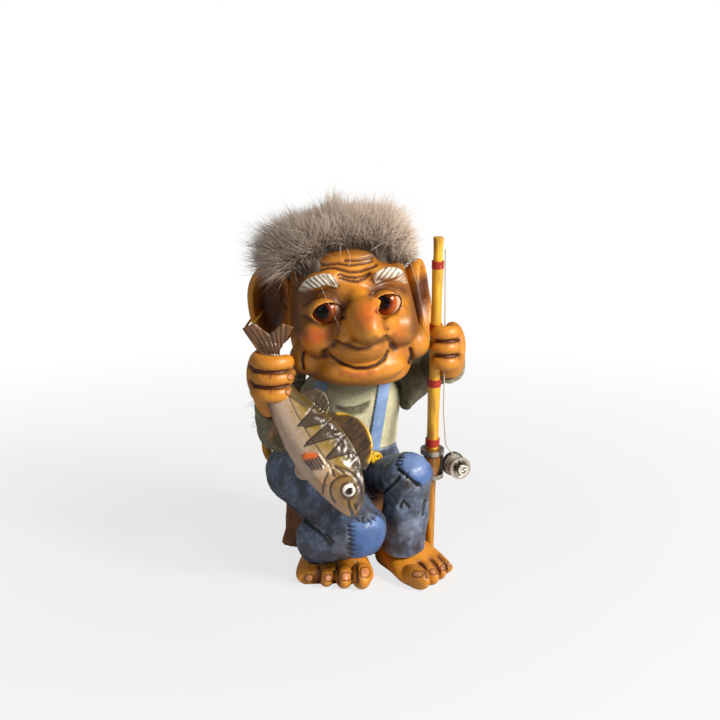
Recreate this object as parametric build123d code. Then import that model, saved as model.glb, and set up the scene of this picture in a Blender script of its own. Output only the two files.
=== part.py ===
"""A seated Norwegian troll ornament that holds a perch in one fist and a cane fishing rod in the other.

The figure is a set of hollow-look castings pegged and glued together: stump, trousers, legs, feet,
shirt, sleeves, fists and fish. The head is a casting of its own that turns on a wooden neck peg, and
it carries the ears, the inset eyes and the fur wig. The rod is a cane stick with a small winding reel.

Millimetres. +Z is up, the figure faces -Y, and its left hand is on +X. The origin lies on the table,
on the underside of the stump.
"""

import math
import os

from build123d import *

# Fits
glue_gap = 0.1  # socket over peg, all round, in a glued joint
running_gap = 0.06  # round the pieces that turn
turning_face_gap = 0.3  # between two faces that turn past each other

# Stump
stump_height = 30.0
stump_half_width = 35.0
stump_half_depth = 25.0
stump_x = -2.0
stump_y = 22.0
root_flare = 2.0
bark_ridge_depth = 0.9
bark_ridges = 9

# Trousers
seat_height = 27.0
seat_half_width = 35.0
seat_half_depth = 25.0
seat_x = -8.5
seat_y = 15.0
waist_half_width = 29.0
waist_half_depth = 22.5
seat_peg_radius = 6.0
seat_peg_length = 12.0

# Shirt
shirt_height = 41.7
chest_half_width = 29.0
chest_half_depth = 23.5
collar_radius = 15.5
neck_x = -1.0
neck_y = -5.0
waist_peg_radius = 7.0
waist_peg_length = 10.0

# Legs. The right knee is low and forward, the left knee is drawn up.
right_thigh_radius = 16.5
right_knee = Vector(1.5, -47.0, 31.0)
right_knee_radius = 13.5
right_hem = Vector(-20.0, -27.0, 16.5)
right_shin_radius = 12.0
left_thigh_radius = 10.8
left_knee = Vector(25.5, -35.0, 53.0)
left_knee_radius = 12.0
left_hem = Vector(23.5, -26.0, 14.5)
left_shin_radius = 11.0
knee_patch_rise = 0.5
leg_peg_radius = 5.0
leg_peg_length = 16.0

# Feet
foot_length = 34.0
right_foot_half_width = 18.5
left_foot_half_width = 16.0
instep_height = 19.0
toe_length = 15.0
toe_count = 4
right_heel = Vector(-11.0, -6.5, 0.0)
right_foot_turn = 2.0
left_heel = Vector(15.5, -8.5, 0.0)
left_foot_turn = 39.0

# Sleeves
shoulder_radius = 12.5
right_elbow_radius = 11.5
left_elbow_radius = 9.2
cuff_radius = 9.0
wrist_peg_radius = 4.0
wrist_peg_length = 9.0
sleeve_peg_radius = 4.0
sleeve_peg_length = 10.0

# Fists: three fingers in rows round what they hold, and a thumb behind
finger_height = 7.7
finger_thickness = 6.9
finger_rows = 3
right_fist_radius = 7.6
left_fist_radius = 4.4
right_fist_height = 6.4  # of the middle finger, above the collar
left_fist_height = 15.0
palm_thickness = 10.5

# Braces and buttons
brace_width = 6.0
brace_thickness = 1.1
button_radius = 3.4
button_thickness = 1.8
button_hole_radius = 0.55

# Head
head_height = 74.0
head_half_width = 31.0
face_depth = 31.0
skull_depth = 34.0
head_yaw = 7.0
head_roll = 7.0
neck_peg_radius = 6.0
neck_peg_in_head = 20.0
neck_peg_in_shirt = 16.0
eye_radius = 7.4
eye_spacing = 28.0
eye_height = 3.0  # above the middle of the head
lid_thickness = 1.5
nose_radius = 9.8
nose_reach = 39.5
nose_lean = 3.0  # towards the figure's left
brow_rise = 14.5

# Ears
ear_height = 41.0
ear_width = 24.0
ear_thickness = 10.0
ear_rim = 3.2
right_ear_spread = 8.2
left_ear_spread = 4.5
right_ear_turn = -8.0
left_ear_turn = 68.0
ear_peg_radius = 2.5
ear_peg_length = 9.0

# Wig
wig_right_reach = 42.0
wig_left_reach = 36.0
wig_rise = 9.0
hairline = 29.0  # above the middle of the head, at the brow
hair_fall = 26.0  # below the middle of the head, at the nape

# Ear ring
ear_ring_radius = 7.0
ear_ring_wire = 0.65

# Tail
tail_root_radius = 4.2
tail_tip_radius = 2.0
tuft_radius = 5.5
tuft_length = 26.0

# Fish
fish_half_height = 13.2
fish_half_thickness = 8.6
fin_thickness = 1.8
fish_eye_radius = 3.1

# Rod and reel
rod_length = 167.0
rod_lean_forward = 6.0  # degrees
rod_lean_left = 0.5  # degrees
rod_x = 38.0
rod_foot_y = -5.0
butt_radius = 2.3
cane_radius = 3.1
grip_radius = 4.3
grip_length = 15.0
grip_height = 45.0
whipping_thickness = 0.35
whipping_width = 3.6
seat_ring_radius = 5.9
seat_ring_width = 2.4
reel_radius = 5.6
reel_width = 8.0
reel_turn = 22.0  # degrees that the reel's axle points away from straight ahead
reel_flange = 1.0
reel_axle_radius = 1.2
reel_knob_radius = 2.7
reel_knob_length = 4.2
line_radius = 0.3
line_clearance = 0.25

# Heights that the pieces stack up to
seat_z = stump_height
waist_z = seat_z + seat_height
collar_z = waist_z + shirt_height
head_base_z = collar_z + turning_face_gap
head_centre = Vector(-2.0, -12.0, head_base_z + 0.47 * head_height)
shoulder_z = collar_z - shoulder_radius + 1.5

UP = Vector(0, 0, 1)
FORWARD = Vector(0, -1, 0)


# Shared form makers


def oval(plane, radius_x, radius_y, points=8):
    """A closed smooth oval on a plane, which always starts on the plane's x axis."""
    around = [math.tau * i / points for i in range(points)]
    outline = [(radius_x * math.cos(a), radius_y * math.sin(a)) for a in around]
    return make_face(Spline(*[plane.from_local_coords(p) for p in outline], periodic=True))


def limb(stations, reference=UP):
    """A loft through ovals square to its line; a station is (point, radius along reference, radius across)."""
    points = [Vector(s[0]) for s in stations]
    sections = []
    for i, (_, along, across) in enumerate(stations):
        tangent = (points[min(i + 1, len(points) - 1)] - points[max(i - 1, 0)]).normalized()
        sideways = (reference - tangent * reference.dot(tangent)).normalized()
        sections.append(oval(Plane(points[i], x_dir=sideways, z_dir=tangent), along, across))
    return loft(sections)


def ellipsoid(centre, radii, turn=(0, 0, 0)):
    return Pos(*centre) * Rot(*turn) * scale(Sphere(1), by=radii)


def ball(centre, radius):
    return Pos(*centre) * Sphere(radius)


def peg(start, end, radius):
    """A round peg from one point to another."""
    start, end = Vector(start), Vector(end)
    length = (end - start).length
    stick = Cylinder(radius, length, align=(Align.CENTER, Align.CENTER, Align.MIN))
    return Plane(start, z_dir=end - start) * stick


def toward(start, end, distance):
    return start + (end - start).normalized() * distance


def below(z, reach=400.0):
    """The half space under a level."""
    return Pos(0, 0, z) * Box(reach, reach, reach, align=(Align.CENTER, Align.CENTER, Align.MAX))


# Stump: a sawn log with bark ridges that swell into roots


def stump_outline(z, grow, ridge):
    around = [math.tau * i / (4 * bark_ridges) for i in range(4 * bark_ridges)]
    points = []
    for a in around:
        swell = grow + ridge * math.cos(bark_ridges * a) + 0.4 * ridge * math.cos(3 * a + 1)
        points.append(
            (
                stump_x + (stump_half_width + swell) * math.cos(a),
                stump_y + (stump_half_depth + swell) * math.sin(a),
                z,
            )
        )
    return make_face(Spline(*points, periodic=True))


def make_stump():
    log = loft(
        [
            stump_outline(0, root_flare, 2 * bark_ridge_depth),
            stump_outline(0.3 * stump_height, 0.3 * root_flare, bark_ridge_depth),
            stump_outline(0.75 * stump_height, 0, bark_ridge_depth),
            stump_outline(stump_height, 0.2 * root_flare, bark_ridge_depth),
        ]
    )
    socket_depth = seat_peg_length + glue_gap
    return log - peg(
        (seat_x, seat_y, stump_height),
        (seat_x, seat_y, stump_height - socket_depth),
        seat_peg_radius + glue_gap,
    )


# Trousers: a broad seat that sits on the stump


def level_oval(x, y, z, half_width, half_depth):
    return oval(Plane((x, y, z)), half_width, half_depth)


right_hip = Vector(seat_x - 0.62 * seat_half_width, seat_y - 7, seat_z + 12)
left_hip = Vector(seat_x + 0.5 * seat_half_width, seat_y - 5, seat_z + 6)


def seat_body():
    return loft(
        [
            level_oval(seat_x, seat_y, seat_z, 0.84 * seat_half_width, 0.84 * seat_half_depth),
            level_oval(seat_x, seat_y, seat_z + 0.25 * seat_height, seat_half_width, seat_half_depth),
            level_oval(seat_x, seat_y, seat_z + 0.6 * seat_height, seat_half_width - 2, seat_half_depth - 1),
            level_oval(seat_x + 1, seat_y - 2, waist_z, waist_half_width, waist_half_depth),
        ]
    )


def leg_peg(hip, knee, radius, extra=0.0):
    """The peg that runs from a thigh back into the seat."""
    return peg(toward(hip, knee, leg_peg_length), toward(hip, knee, -0.5 * leg_peg_length - extra), radius)


def make_seat():
    body = seat_body() + peg(
        (seat_x, seat_y, seat_z + 1), (seat_x, seat_y, seat_z - seat_peg_length), seat_peg_radius
    )
    waist_socket = peg(
        (seat_x + 1, seat_y - 2, waist_z),
        (seat_x + 1, seat_y - 2, waist_z - waist_peg_length - glue_gap),
        waist_peg_radius + glue_gap,
    )
    right_socket = leg_peg(right_hip, right_knee, leg_peg_radius + glue_gap, glue_gap)
    left_socket = leg_peg(left_hip, left_knee, leg_peg_radius + glue_gap, glue_gap)
    return body - [waist_socket, right_socket, left_socket]


# Legs: thigh, rounded knee and shin, with a raised patch on the knee


def make_leg(hip, knee, hem, thigh_radius, knee_radius, shin_radius, neighbours):
    middle = (hip + knee) / 2 + Vector(0, 0, 1)
    thigh = limb(
        [
            (hip, thigh_radius, thigh_radius),
            (middle, 0.94 * thigh_radius, 0.94 * thigh_radius),
            (knee, knee_radius - 0.4, knee_radius - 0.4),
        ],
    )
    shin = limb(
        [
            (toward(knee, hem, 2), knee_radius - 0.8, knee_radius - 0.8),
            ((knee + hem) / 2, shin_radius + 0.3, shin_radius + 0.3),
            (hem, shin_radius, shin_radius),
        ],
        FORWARD,
    )
    hip_ball = ball(hip, thigh_radius - 0.3)
    patch_centre = toward(knee, knee + FORWARD * 2 + UP, 0.4 * knee_radius)
    patch = ball(patch_centre, 0.62 * knee_radius + knee_patch_rise)
    leg = thigh + [ball(knee, knee_radius), shin, hip_ball, patch]
    for neighbour in [below(0.5), *neighbours]:
        leg -= neighbour
    return leg + (leg_peg(hip, knee, leg_peg_radius) - below(seat_z + glue_gap))


# Feet: broad and bare, with four toes


def make_foot(heel, turn, foot_half_width, big_toe_side, leg, stump):
    """The foot is shaped with its heel at the origin and its toes towards -Y, then turned into place."""
    stations = [
        (0.0, 0.42 * foot_half_width, 0.62 * instep_height),
        (-0.16 * foot_length, 0.66 * foot_half_width, 0.9 * instep_height),
        (-0.45 * foot_length, 0.84 * foot_half_width, 0.92 * instep_height),
        (-0.75 * foot_length, foot_half_width, 0.66 * instep_height),
        (-foot_length, 0.96 * foot_half_width, 0.42 * instep_height),
    ]
    sole_sink = 2.5
    sections = [
        oval(
            Plane((0, y, (top - sole_sink) / 2), x_dir=(1, 0, 0), z_dir=(0, -1, 0)),
            half_width,
            (top + sole_sink) / 2,
        )
        for y, half_width, top in stations
    ]
    foot = loft(sections)
    pitch = 2 * foot_half_width / (toe_count + 0.35)
    for i in range(toe_count):
        share = 1.16 - 0.11 * i
        x = big_toe_side * (foot_half_width - pitch * (0.62 + i) - 0.25)
        forward = foot_length + 0.16 * toe_length - 0.09 * toe_length * i * i / 2
        height = 0.27 * instep_height * share
        foot += ellipsoid(
            (x, -forward, 0.86 * height), (0.5 * pitch * share, 0.5 * toe_length * share, height)
        )
    placed = Pos(*heel) * Rot(0, 0, turn) * foot
    return placed - [below(0), leg, stump]


# Shirt and braces


def shirt_sections(grow):
    """The shirt's outline at four levels, grown outwards by a thickness."""
    return [
        level_oval(
            seat_x + 1,
            seat_y - 2,
            waist_z,
            waist_half_width - 0.5 + grow,
            waist_half_depth - 0.5 + grow,
        ),
        level_oval(
            seat_x + 2,
            seat_y - 5,
            waist_z + 0.36 * shirt_height,
            chest_half_width + grow,
            chest_half_depth + grow,
        ),
        level_oval(
            neck_x - 3,
            neck_y + 6,
            waist_z + 0.74 * shirt_height,
            0.88 * chest_half_width + grow,
            0.86 * chest_half_depth + grow,
        ),
        level_oval(neck_x, neck_y, collar_z, collar_radius + grow, collar_radius - 1 + grow),
    ]


right_shoulder = Vector(neck_x - chest_half_width, neck_y + 6, shoulder_z)
left_shoulder = Vector(neck_x + 0.86 * chest_half_width, neck_y + 9, shoulder_z + 1)
right_elbow = Vector(neck_x - 33, neck_y - 5, collar_z - 28)
left_elbow = Vector(neck_x + 40.5, neck_y + 13, collar_z - 2.5)
right_fist_centre = Vector(-37.8, -43.3, collar_z + right_fist_height)
left_fist_centre = Vector(43.6, -19.5, collar_z + left_fist_height)
right_wrist = Vector(right_fist_centre.X - 1, right_fist_centre.Y + 9, right_fist_centre.Z - 17)
left_wrist = Vector(left_fist_centre.X + 2.5, left_fist_centre.Y + 11, left_fist_centre.Z - 12)


def sleeve_peg(shoulder, elbow, radius, extra=0.0):
    return peg(toward(shoulder, elbow, 8), toward(shoulder, elbow, -sleeve_peg_length - extra), radius)


def make_shirt():
    body = loft(shirt_sections(0))
    spigot = peg(
        (seat_x + 1, seat_y - 2, waist_z + 1),
        (seat_x + 1, seat_y - 2, waist_z - waist_peg_length),
        waist_peg_radius,
    )
    neck_socket = peg(
        (neck_x, neck_y, collar_z),
        (neck_x, neck_y, collar_z - neck_peg_in_shirt - glue_gap),
        neck_peg_radius + glue_gap,
    )
    right_socket = sleeve_peg(right_shoulder, right_elbow, sleeve_peg_radius + glue_gap, glue_gap)
    left_socket = sleeve_peg(left_shoulder, left_elbow, sleeve_peg_radius + glue_gap, glue_gap)
    return body + spigot - [neck_socket, right_socket, left_socket]


def make_brace(shirt_body, seat, bottom_x, top_x):
    """A strap cut from a skin over the shirt: up the chest, over the shoulder and down the back."""
    skin = loft(shirt_sections(brace_thickness)) - shirt_body
    half = brace_width / 2
    strip = Polyline(
        (bottom_x - half, waist_z),
        (bottom_x + half, waist_z),
        (top_x + half, collar_z - 1),
        (top_x - half, collar_z - 1),
        close=True,
    )
    band = extrude(Plane.XZ * make_face(strip), 100, both=True)
    return (skin & band) - seat


def button_place(x):
    """A plane on the trousers' skin under the end of a brace, facing outwards."""
    across = (x - seat_x - 1) / waist_half_width
    depth = math.sqrt(1 - across**2)
    outward = Vector(across / waist_half_width, -depth / waist_half_depth, 0).normalized()
    skin = Vector(x, seat_y - 2 - waist_half_depth * depth, waist_z - button_radius - 0.4)
    return Plane(skin - outward * 0.6, x_dir=(0.4, 0, 1), z_dir=outward)


def make_button(x, seat):
    """A two-hole button bedded on the trousers."""
    disc = Cylinder(button_radius, 2 * button_thickness, align=(Align.CENTER, Align.CENTER, Align.MIN))
    rim = Pos(0, 0, 2 * button_thickness) * Torus(button_radius - 0.6, 0.5)
    hole = Pos(0, 0, 2 * button_thickness) * Cylinder(button_hole_radius, 2 * button_thickness)
    holes = [Pos(side * 1.2, 0, 0) * hole for side in (-1, 1)]
    return button_place(x) * (disc + rim - holes) - seat


# Sleeves


def make_sleeve(shoulder, elbow, wrist, elbow_radius, shirt):
    """One bent tube from inside the shirt over the elbow to the cuff."""
    inner = toward(shoulder, elbow, -4)
    bend = Spline(inner, elbow, wrist)
    girths = [
        (0.0, shoulder_radius),
        (0.22, 0.5 * (shoulder_radius + elbow_radius)),
        (0.45, elbow_radius + 0.3),
        (0.6, elbow_radius),
        (0.8, 0.5 * (elbow_radius + cuff_radius)),
        (1.0, cuff_radius),
    ]
    sleeve = limb([(bend.position_at(share), girth, girth) for share, girth in girths], Vector(1, 0, 0))
    wrist_socket = peg(
        toward(wrist, elbow, -1), toward(wrist, elbow, wrist_peg_length + glue_gap), wrist_peg_radius + glue_gap
    )
    return sleeve - shirt - wrist_socket + sleeve_peg(shoulder, elbow, sleeve_peg_radius)


# Fists


def make_fist(centre, ring_radius, start, sweep, palm_at, wrist, elbow, sleeve, held):
    """Fingers swept round an upright line through the fist, a palm, a thumb and a wrist with its peg."""
    section = Plane.XZ * Pos(ring_radius, 0) * Ellipse(finger_thickness / 2, finger_height / 2)
    tip_radii = (0.47 * finger_thickness, 0.6 * finger_thickness, 0.47 * finger_height)
    tip = ellipsoid((ring_radius, 0, 0), tip_radii)
    finger = Rot(0, 0, start) * revolve(section, Axis.Z, sweep)
    finger += Rot(0, 0, start) * tip
    finger += Rot(0, 0, start + sweep) * tip
    pitch = 0.93 * finger_height
    rows = [(i - (finger_rows - 1) / 2) * pitch for i in range(finger_rows)]
    fist = Part() + [Pos(*centre) * Pos(0, 0, row) * finger for row in rows]
    palm_centre = centre + Vector(ring_radius, 0, 0).rotate(Axis.Z, palm_at)
    palm_height = finger_rows * pitch / 2 + 1
    fist += Pos(*palm_centre) * Rot(0, 0, palm_at) * scale(
        Sphere(1), by=(palm_thickness / 2, 0.75 * palm_thickness, palm_height)
    )
    thumb_at = palm_at + (70 if sweep * math.cos(math.radians(palm_at)) > 0 else -70)
    thumb_centre = centre + Vector(ring_radius - 0.8, 0, 0).rotate(Axis.Z, thumb_at)
    fist += Pos(*thumb_centre) * Rot(0, 0, thumb_at) * scale(
        Sphere(1), by=(finger_thickness / 2, 0.9 * palm_thickness, finger_height / 2)
    )
    fist += limb(
        [
            (palm_centre - UP * 0.2 * palm_height, 0.55 * palm_thickness, 0.55 * palm_thickness),
            (toward(wrist, palm_centre, 1), cuff_radius - 1.6, cuff_radius - 1.6),
            (toward(wrist, palm_centre, -1.5), cuff_radius - 1.8, cuff_radius - 1.8),
        ],
        FORWARD,
    )
    fist -= sleeve
    for cutter in held:
        fist -= cutter
    return fist + peg(toward(wrist, elbow, -1), toward(wrist, elbow, wrist_peg_length), wrist_peg_radius)


# Fish: a perch held by its tail, head down


fish_nose = Vector(-1.0, -63.0, collar_z - 56.0)
fish_line = [
    fish_nose,
    Vector(-17.5, -55.0, collar_z - 24.0),
    Vector(right_fist_centre.X + 1.5, right_fist_centre.Y - 1.5, collar_z + 2.0),
    Vector(right_fist_centre.X - 1.5, right_fist_centre.Y - 1.0, collar_z + 22.0),
]
fish_spine = Spline(*fish_line)
fish_back = Vector(0.9, 0.0, 0.44).normalized()


def fish_plane(share, tilt=0.0):
    """The plane square to the fish at a share of its length: x towards its back, z towards its tail."""
    along = fish_spine.tangent_at(share)
    back = (fish_back - along * fish_back.dot(along)).normalized()
    return Plane(fish_spine.position_at(share), x_dir=back, z_dir=along)


def fish_fin(share, outline):
    """A thin fin in the fish's own plane: outline points are (towards the back, towards the tail)."""
    place = fish_plane(share)
    sheet = Plane(place.origin, x_dir=place.x_dir, z_dir=-place.y_dir)
    return extrude(sheet * outline, fin_thickness / 2, both=True)


def fin_outline(front, crest, rear):
    return make_face(ThreePointArc(rear, crest, front) + Line(front, rear))


fish_stations = [  # share of the length, height, thickness
    (0.0, 0.12, 0.16),
    (0.05, 0.42, 0.5),
    (0.16, 0.78, 0.8),
    (0.33, 1.0, 1.0),
    (0.52, 0.9, 0.86),
    (0.7, 0.6, 0.6),
    (0.85, 0.42, 0.42),
    (1.0, 0.44, 0.2),
]


def fish_body(first=0, grow=0.0):
    """The fish's body from one of its stations to the tail, grown all round by a clearance."""
    return loft(
        [
            oval(fish_plane(s), fish_half_height * tall + grow, fish_half_thickness * wide + grow)
            for s, tall, wide in fish_stations[first:]
        ]
    )


def make_fish():
    body = fish_body()
    h = fish_half_height
    lower_lobe = [(-0.3 * h, -3), (-0.95 * h, 9.5), (-0.5 * h, 12), (0, 7)]
    upper_lobe = [(0.45 * h, 12.5), (0.85 * h, 11), (0.3 * h, -3)]
    tail = Polyline(*lower_lobe, *upper_lobe, close=True)
    spiny = fin_outline((0.8 * h, -22), (1.76 * h, -9), (0.75 * h, 10))
    soft = fin_outline((0.65 * h, -7), (1.36 * h, 0.5), (0.5 * h, 6))
    anal = fin_outline((-0.6 * h, -6), (-1.2 * h, 0), (-0.4 * h, 6))
    pelvic = fin_outline((-0.75 * h, -4), (-1.2 * h, 1), (-0.65 * h, 5))
    fins = [fish_fin(0.97, make_face(tail))]
    for share, sheet in ((0.4, spiny), (0.585, soft), (0.55, anal), (0.34, pelvic)):
        fins.append(fish_fin(share, sheet))
    side_place = fish_plane(0.28)
    pectoral = ellipsoid((0, 0, 0), (4.2, 1.2, 6.5))
    flank = Plane(
        side_place.origin - side_place.y_dir * 0.94 * fish_half_thickness - side_place.x_dir * 0.3 * h,
        x_dir=side_place.x_dir,
        z_dir=side_place.z_dir,
    )
    eye_place = fish_plane(0.13)
    eye_middle = eye_place.origin + eye_place.x_dir * 0.22 * h
    eye_out = eye_place.y_dir * 0.52 * fish_half_thickness
    eyes = [ball(eye_middle + eye_out * side, fish_eye_radius) for side in (-1, 1)]
    mouth_place = fish_plane(0.0)
    mouth = Plane(mouth_place.origin, x_dir=mouth_place.x_dir, z_dir=mouth_place.z_dir) * Box(1.0, 12, 9)
    return body + fins + (flank * pectoral) + eyes - mouth


# Head: a lofted skull with the face's masses built up on it


head_place = Pos(*head_centre) * Rot(0, 0, head_yaw) * Rot(0, -head_roll, 0)


def skull_section(z, half_width, front, back):
    """A level slice of the skull, fuller behind than a plain oval and flatter in front."""
    points = []
    count = 16
    for i in range(count):
        a = math.tau * i / count
        depth = back if math.sin(a) > 0 else front
        points.append((half_width * math.cos(a), depth * math.sin(a), z))
    return make_face(Spline(*points, periodic=True))


def head_core(grow=0.0):
    """The skull and jaw without the face's details, in the head's own frame."""
    stations = [
        (-0.53, 0.66, 0.82, 0.42),
        (-0.42, 0.86, 1.0, 0.6),
        (-0.28, 0.98, 1.04, 0.78),
        (-0.1, 1.0, 1.0, 0.94),
        (0.08, 0.94, 0.97, 1.0),
        (0.25, 0.86, 0.99, 0.98),
        (0.38, 0.7, 0.82, 0.82),
        (0.46, 0.45, 0.52, 0.54),
        (0.5, 0.16, 0.2, 0.2),
    ]
    return loft(
        [
            skull_section(
                z * head_height, w * head_half_width + grow, f * face_depth + grow, b * skull_depth + grow
            )
            for z, w, f, b in stations
        ]
    )


def eye_centre(side):
    return Vector(side * eye_spacing / 2, -0.8 * face_depth, eye_height)


def eye_opening(side):
    """The almond between the lids, as a cutter that reaches out from the middle of the eye."""
    half = 0.98 * eye_radius
    almond = make_face(
        ThreePointArc((-half, -0.5), (0, 0.62 * eye_radius), (half, 0.5))
        + ThreePointArc((half, 0.5), (0, -0.66 * eye_radius), (-half, -0.5))
    )
    return Pos(*eye_centre(side)) * extrude(Plane.XZ * almond, 3 * eye_radius)


def make_head():
    nose = Vector(nose_lean, -nose_reach, 0.0)
    cheek_x = 0.6 * head_half_width
    masses = [
        ellipsoid((0, -0.85 * face_depth, -14), (17, 10.5, 10)),  # muzzle
        ellipsoid((0, -0.8 * face_depth, -27), (20, 9.5, 8.5)),  # chin
        ball(nose, nose_radius),
        ellipsoid((0.4 * nose_lean, -0.88 * face_depth, 4), (7, 12, 9.5)),  # bridge of the nose
    ]
    for side in (-1, 1):
        masses.append(ball((0.6 * nose_lean + side * 10, nose.Y + 5.5, -5.5), 5.6))  # wing of the nose
        masses.append(ball((side * cheek_x, -0.83 * face_depth, -9), 9.5))
        masses.append(ball((side * 0.82 * head_half_width, -0.52 * face_depth, -20), 8.6))  # jowl
        brow = (side * 15, -0.83 * face_depth, eye_height + brow_rise)
        masses.append(ellipsoid(brow, (10.5, 6.5, 4.2), (0, side * 12, side * 22)))
        masses.append(ball(eye_centre(side), eye_radius + lid_thickness))
    hollows = []
    for side in (-1, 1):
        hollows.append(ball(eye_centre(side), eye_radius + glue_gap))
        hollows.append(eye_opening(side))
        hollows.append(ear_peg(side, ear_peg_radius + glue_gap, glue_gap))
    head = head_place * (head_core() + masses - hollows)
    socket_top = head_base_z + neck_peg_in_head + turning_face_gap
    neck_socket = peg(
        (neck_x, neck_y, head_base_z - 1), (neck_x, neck_y, socket_top), neck_peg_radius + running_gap
    )
    return head - [below(head_base_z), neck_socket]


# Ears


def ear_root(side):
    """Where an ear meets the head: the right ear is set higher than the left."""
    return Vector(side * 0.93 * head_half_width, 10.0, -1.0 - 4.0 * side)


def ear_peg(side, radius, extra=0.0):
    root = ear_root(side)
    inner = root - Vector(side * (ear_peg_length + extra), 0, 0)
    return peg(inner, root + Vector(side * 4, 0, 0), radius)


def ear_slice(depth, half_width, half_height):
    """An upright oval across the ear at a depth behind its open face."""
    return oval(Plane((0, depth, 0), x_dir=(1, 0, 0), z_dir=(0, 1, 0)), half_width, half_height)


def make_ear(side, turn, spread, core):
    """A deep bowl with a rolled rim, turned to the front and pegged to the head."""
    half_width, half_height, depth = ear_width / 2, ear_height / 2, ear_thickness
    shell = loft(
        [
            ear_slice(-0.5 * depth, half_width - 0.8, half_height - 0.8),
            ear_slice(-0.25 * depth, half_width, half_height),
            ear_slice(0.15 * depth, 0.86 * half_width, 0.88 * half_height),
            ear_slice(0.5 * depth, 0.45 * half_width, 0.5 * half_height),
        ]
    )
    bowl = loft(
        [
            ear_slice(-0.7 * depth, half_width - ear_rim + 0.8, half_height - ear_rim + 0.8),
            ear_slice(-0.2 * depth, 0.9 * half_width - ear_rim, 0.9 * half_height - ear_rim),
            ear_slice(0.2 * depth, 0.35 * half_width, 0.4 * half_height),
        ]
    )
    root = ear_root(side)
    ear = Pos(root.X + side * spread, root.Y, root.Z) * Rot(0, 0, turn) * (shell - bowl)
    return head_place * (ear - core + ear_peg(side, ear_peg_radius))


# Wig: a mop of fur on a cloth cap, shaped here as its outer mass


def make_wig(core, ears):
    """The mop stands up over the brow and falls to the nape behind the ears."""
    crown = 0.5 * head_height
    rows = [
        (hairline - 18, 0.8, 0.6, 1.12),
        (hairline - 8, 0.97, 0.95, 1.22),
        (hairline, 1.0, 1.2, 1.22),
        (0.5 * (hairline + crown + wig_rise), 0.88, 1.06, 1.06),
        (crown + 0.62 * wig_rise, 0.62, 0.74, 0.74),
        (crown + wig_rise, 0.3, 0.36, 0.36),
    ]
    count = 20
    sections = []
    for n, (z, wide, front, back) in enumerate(rows):
        points = []
        for i in range(count):
            a = math.tau * i / count
            lock = 1 + 0.03 * math.cos(5 * a + n)
            reach = wig_left_reach if math.cos(a) > 0 else wig_right_reach
            depth = back * skull_depth if math.sin(a) > 0 else front * face_depth
            points.append((wide * reach * lock * math.cos(a), depth * lock * math.sin(a), z))
        sections.append(make_face(Spline(*points, periodic=True)))
    slope = 20.0
    under = Pos(0, -face_depth - 3, hairline) * Rot(-slope, 0, 0) * Box(
        300, 300, 200, align=(Align.CENTER, Align.CENTER, Align.MAX)
    )
    fall = ellipsoid((0, 0.36 * skull_depth, 4), (head_half_width + 4, 0.86 * skull_depth, hair_fall + 4))
    before_ears = Pos(0, 20, 0) * Box(300, 300, 300, align=(Align.CENTER, Align.MAX, Align.CENTER))
    wig = head_place * ((loft(sections) - under) + (fall - before_ears) - core)
    wig -= ears
    return max(wig.solids(), key=lambda solid: solid.volume)


def make_eye(side):
    return head_place * Pos(*eye_centre(side)) * Sphere(eye_radius)


# Ear ring: a gilt hoop through the right ear's rim


def make_ear_ring(wire):
    outer_edge = ear_root(-1) + Vector(-right_ear_spread - 0.42 * ear_width, -1.0, -6.0)
    hoop = Torus(ear_ring_radius, wire)
    return head_place * (Plane(outer_edge, x_dir=(0, 1, 0), z_dir=(0.66, 0, -0.75)) * hoop)


# Tail


def make_tail(seat, stump):
    root = Vector(seat_x + 2, seat_y + seat_half_depth - 4, seat_z + 14)
    bend = Vector(seat_x - 18, seat_y + seat_half_depth + 7, seat_z + 5)
    side = Vector(seat_x - seat_half_width - 2, seat_y + 14, seat_z + 12)
    tip = Vector(seat_x - seat_half_width + 2, seat_y + 9, seat_z + 34)
    curve = Spline(root, bend, side, tip)
    shares = [0, 0.2, 0.4, 0.6, 0.8, 1.0]
    radii = [tail_root_radius + (tail_tip_radius - tail_root_radius) * s for s in shares]
    stations = [(curve.position_at(s), r, r) for s, r in zip(shares, radii)]
    tuft_swell = ((0, 0.5), (0.35, 1), (0.7, 0.8), (1, 0.15))  # share of the length, share of the radius
    tuft_axis = []
    for along, swell in tuft_swell:
        tuft_axis.append((tip + UP * along * tuft_length, swell * tuft_radius, swell * tuft_radius))
    tail = limb(stations) - [seat, stump]
    return tail, limb(tuft_axis, FORWARD) - tail


# Rod and reel


rod_axis = Vector(
    math.tan(math.radians(rod_lean_left)), -math.tan(math.radians(rod_lean_forward)), 1
).normalized()
rod_foot = Vector(rod_x, rod_foot_y, 0.0)


def on_rod(distance):
    return rod_foot + rod_axis * (distance / rod_axis.Z)


def rod_plane(distance):
    return Plane(on_rod(distance), x_dir=(1, 0, 0), z_dir=rod_axis)


def collar_on_rod(start, length, inner, outer):
    """A plain round sleeve on the rod."""
    ring = Cylinder(outer, length, align=(Align.CENTER, Align.CENTER, Align.MIN))
    ring -= Cylinder(inner, 4 * length)
    return rod_plane(start) * ring


grip_top = grip_height + grip_length
whipping_starts = (grip_top + 1.8, grip_top + 33.0, grip_top + 61.0, grip_top + 92.0)


def cane_radius_at(distance):
    """The cane steps thinner at each whipping."""
    steps = sum(1 for start in whipping_starts[1:] if distance >= start)
    return cane_radius - 0.22 * steps


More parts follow.
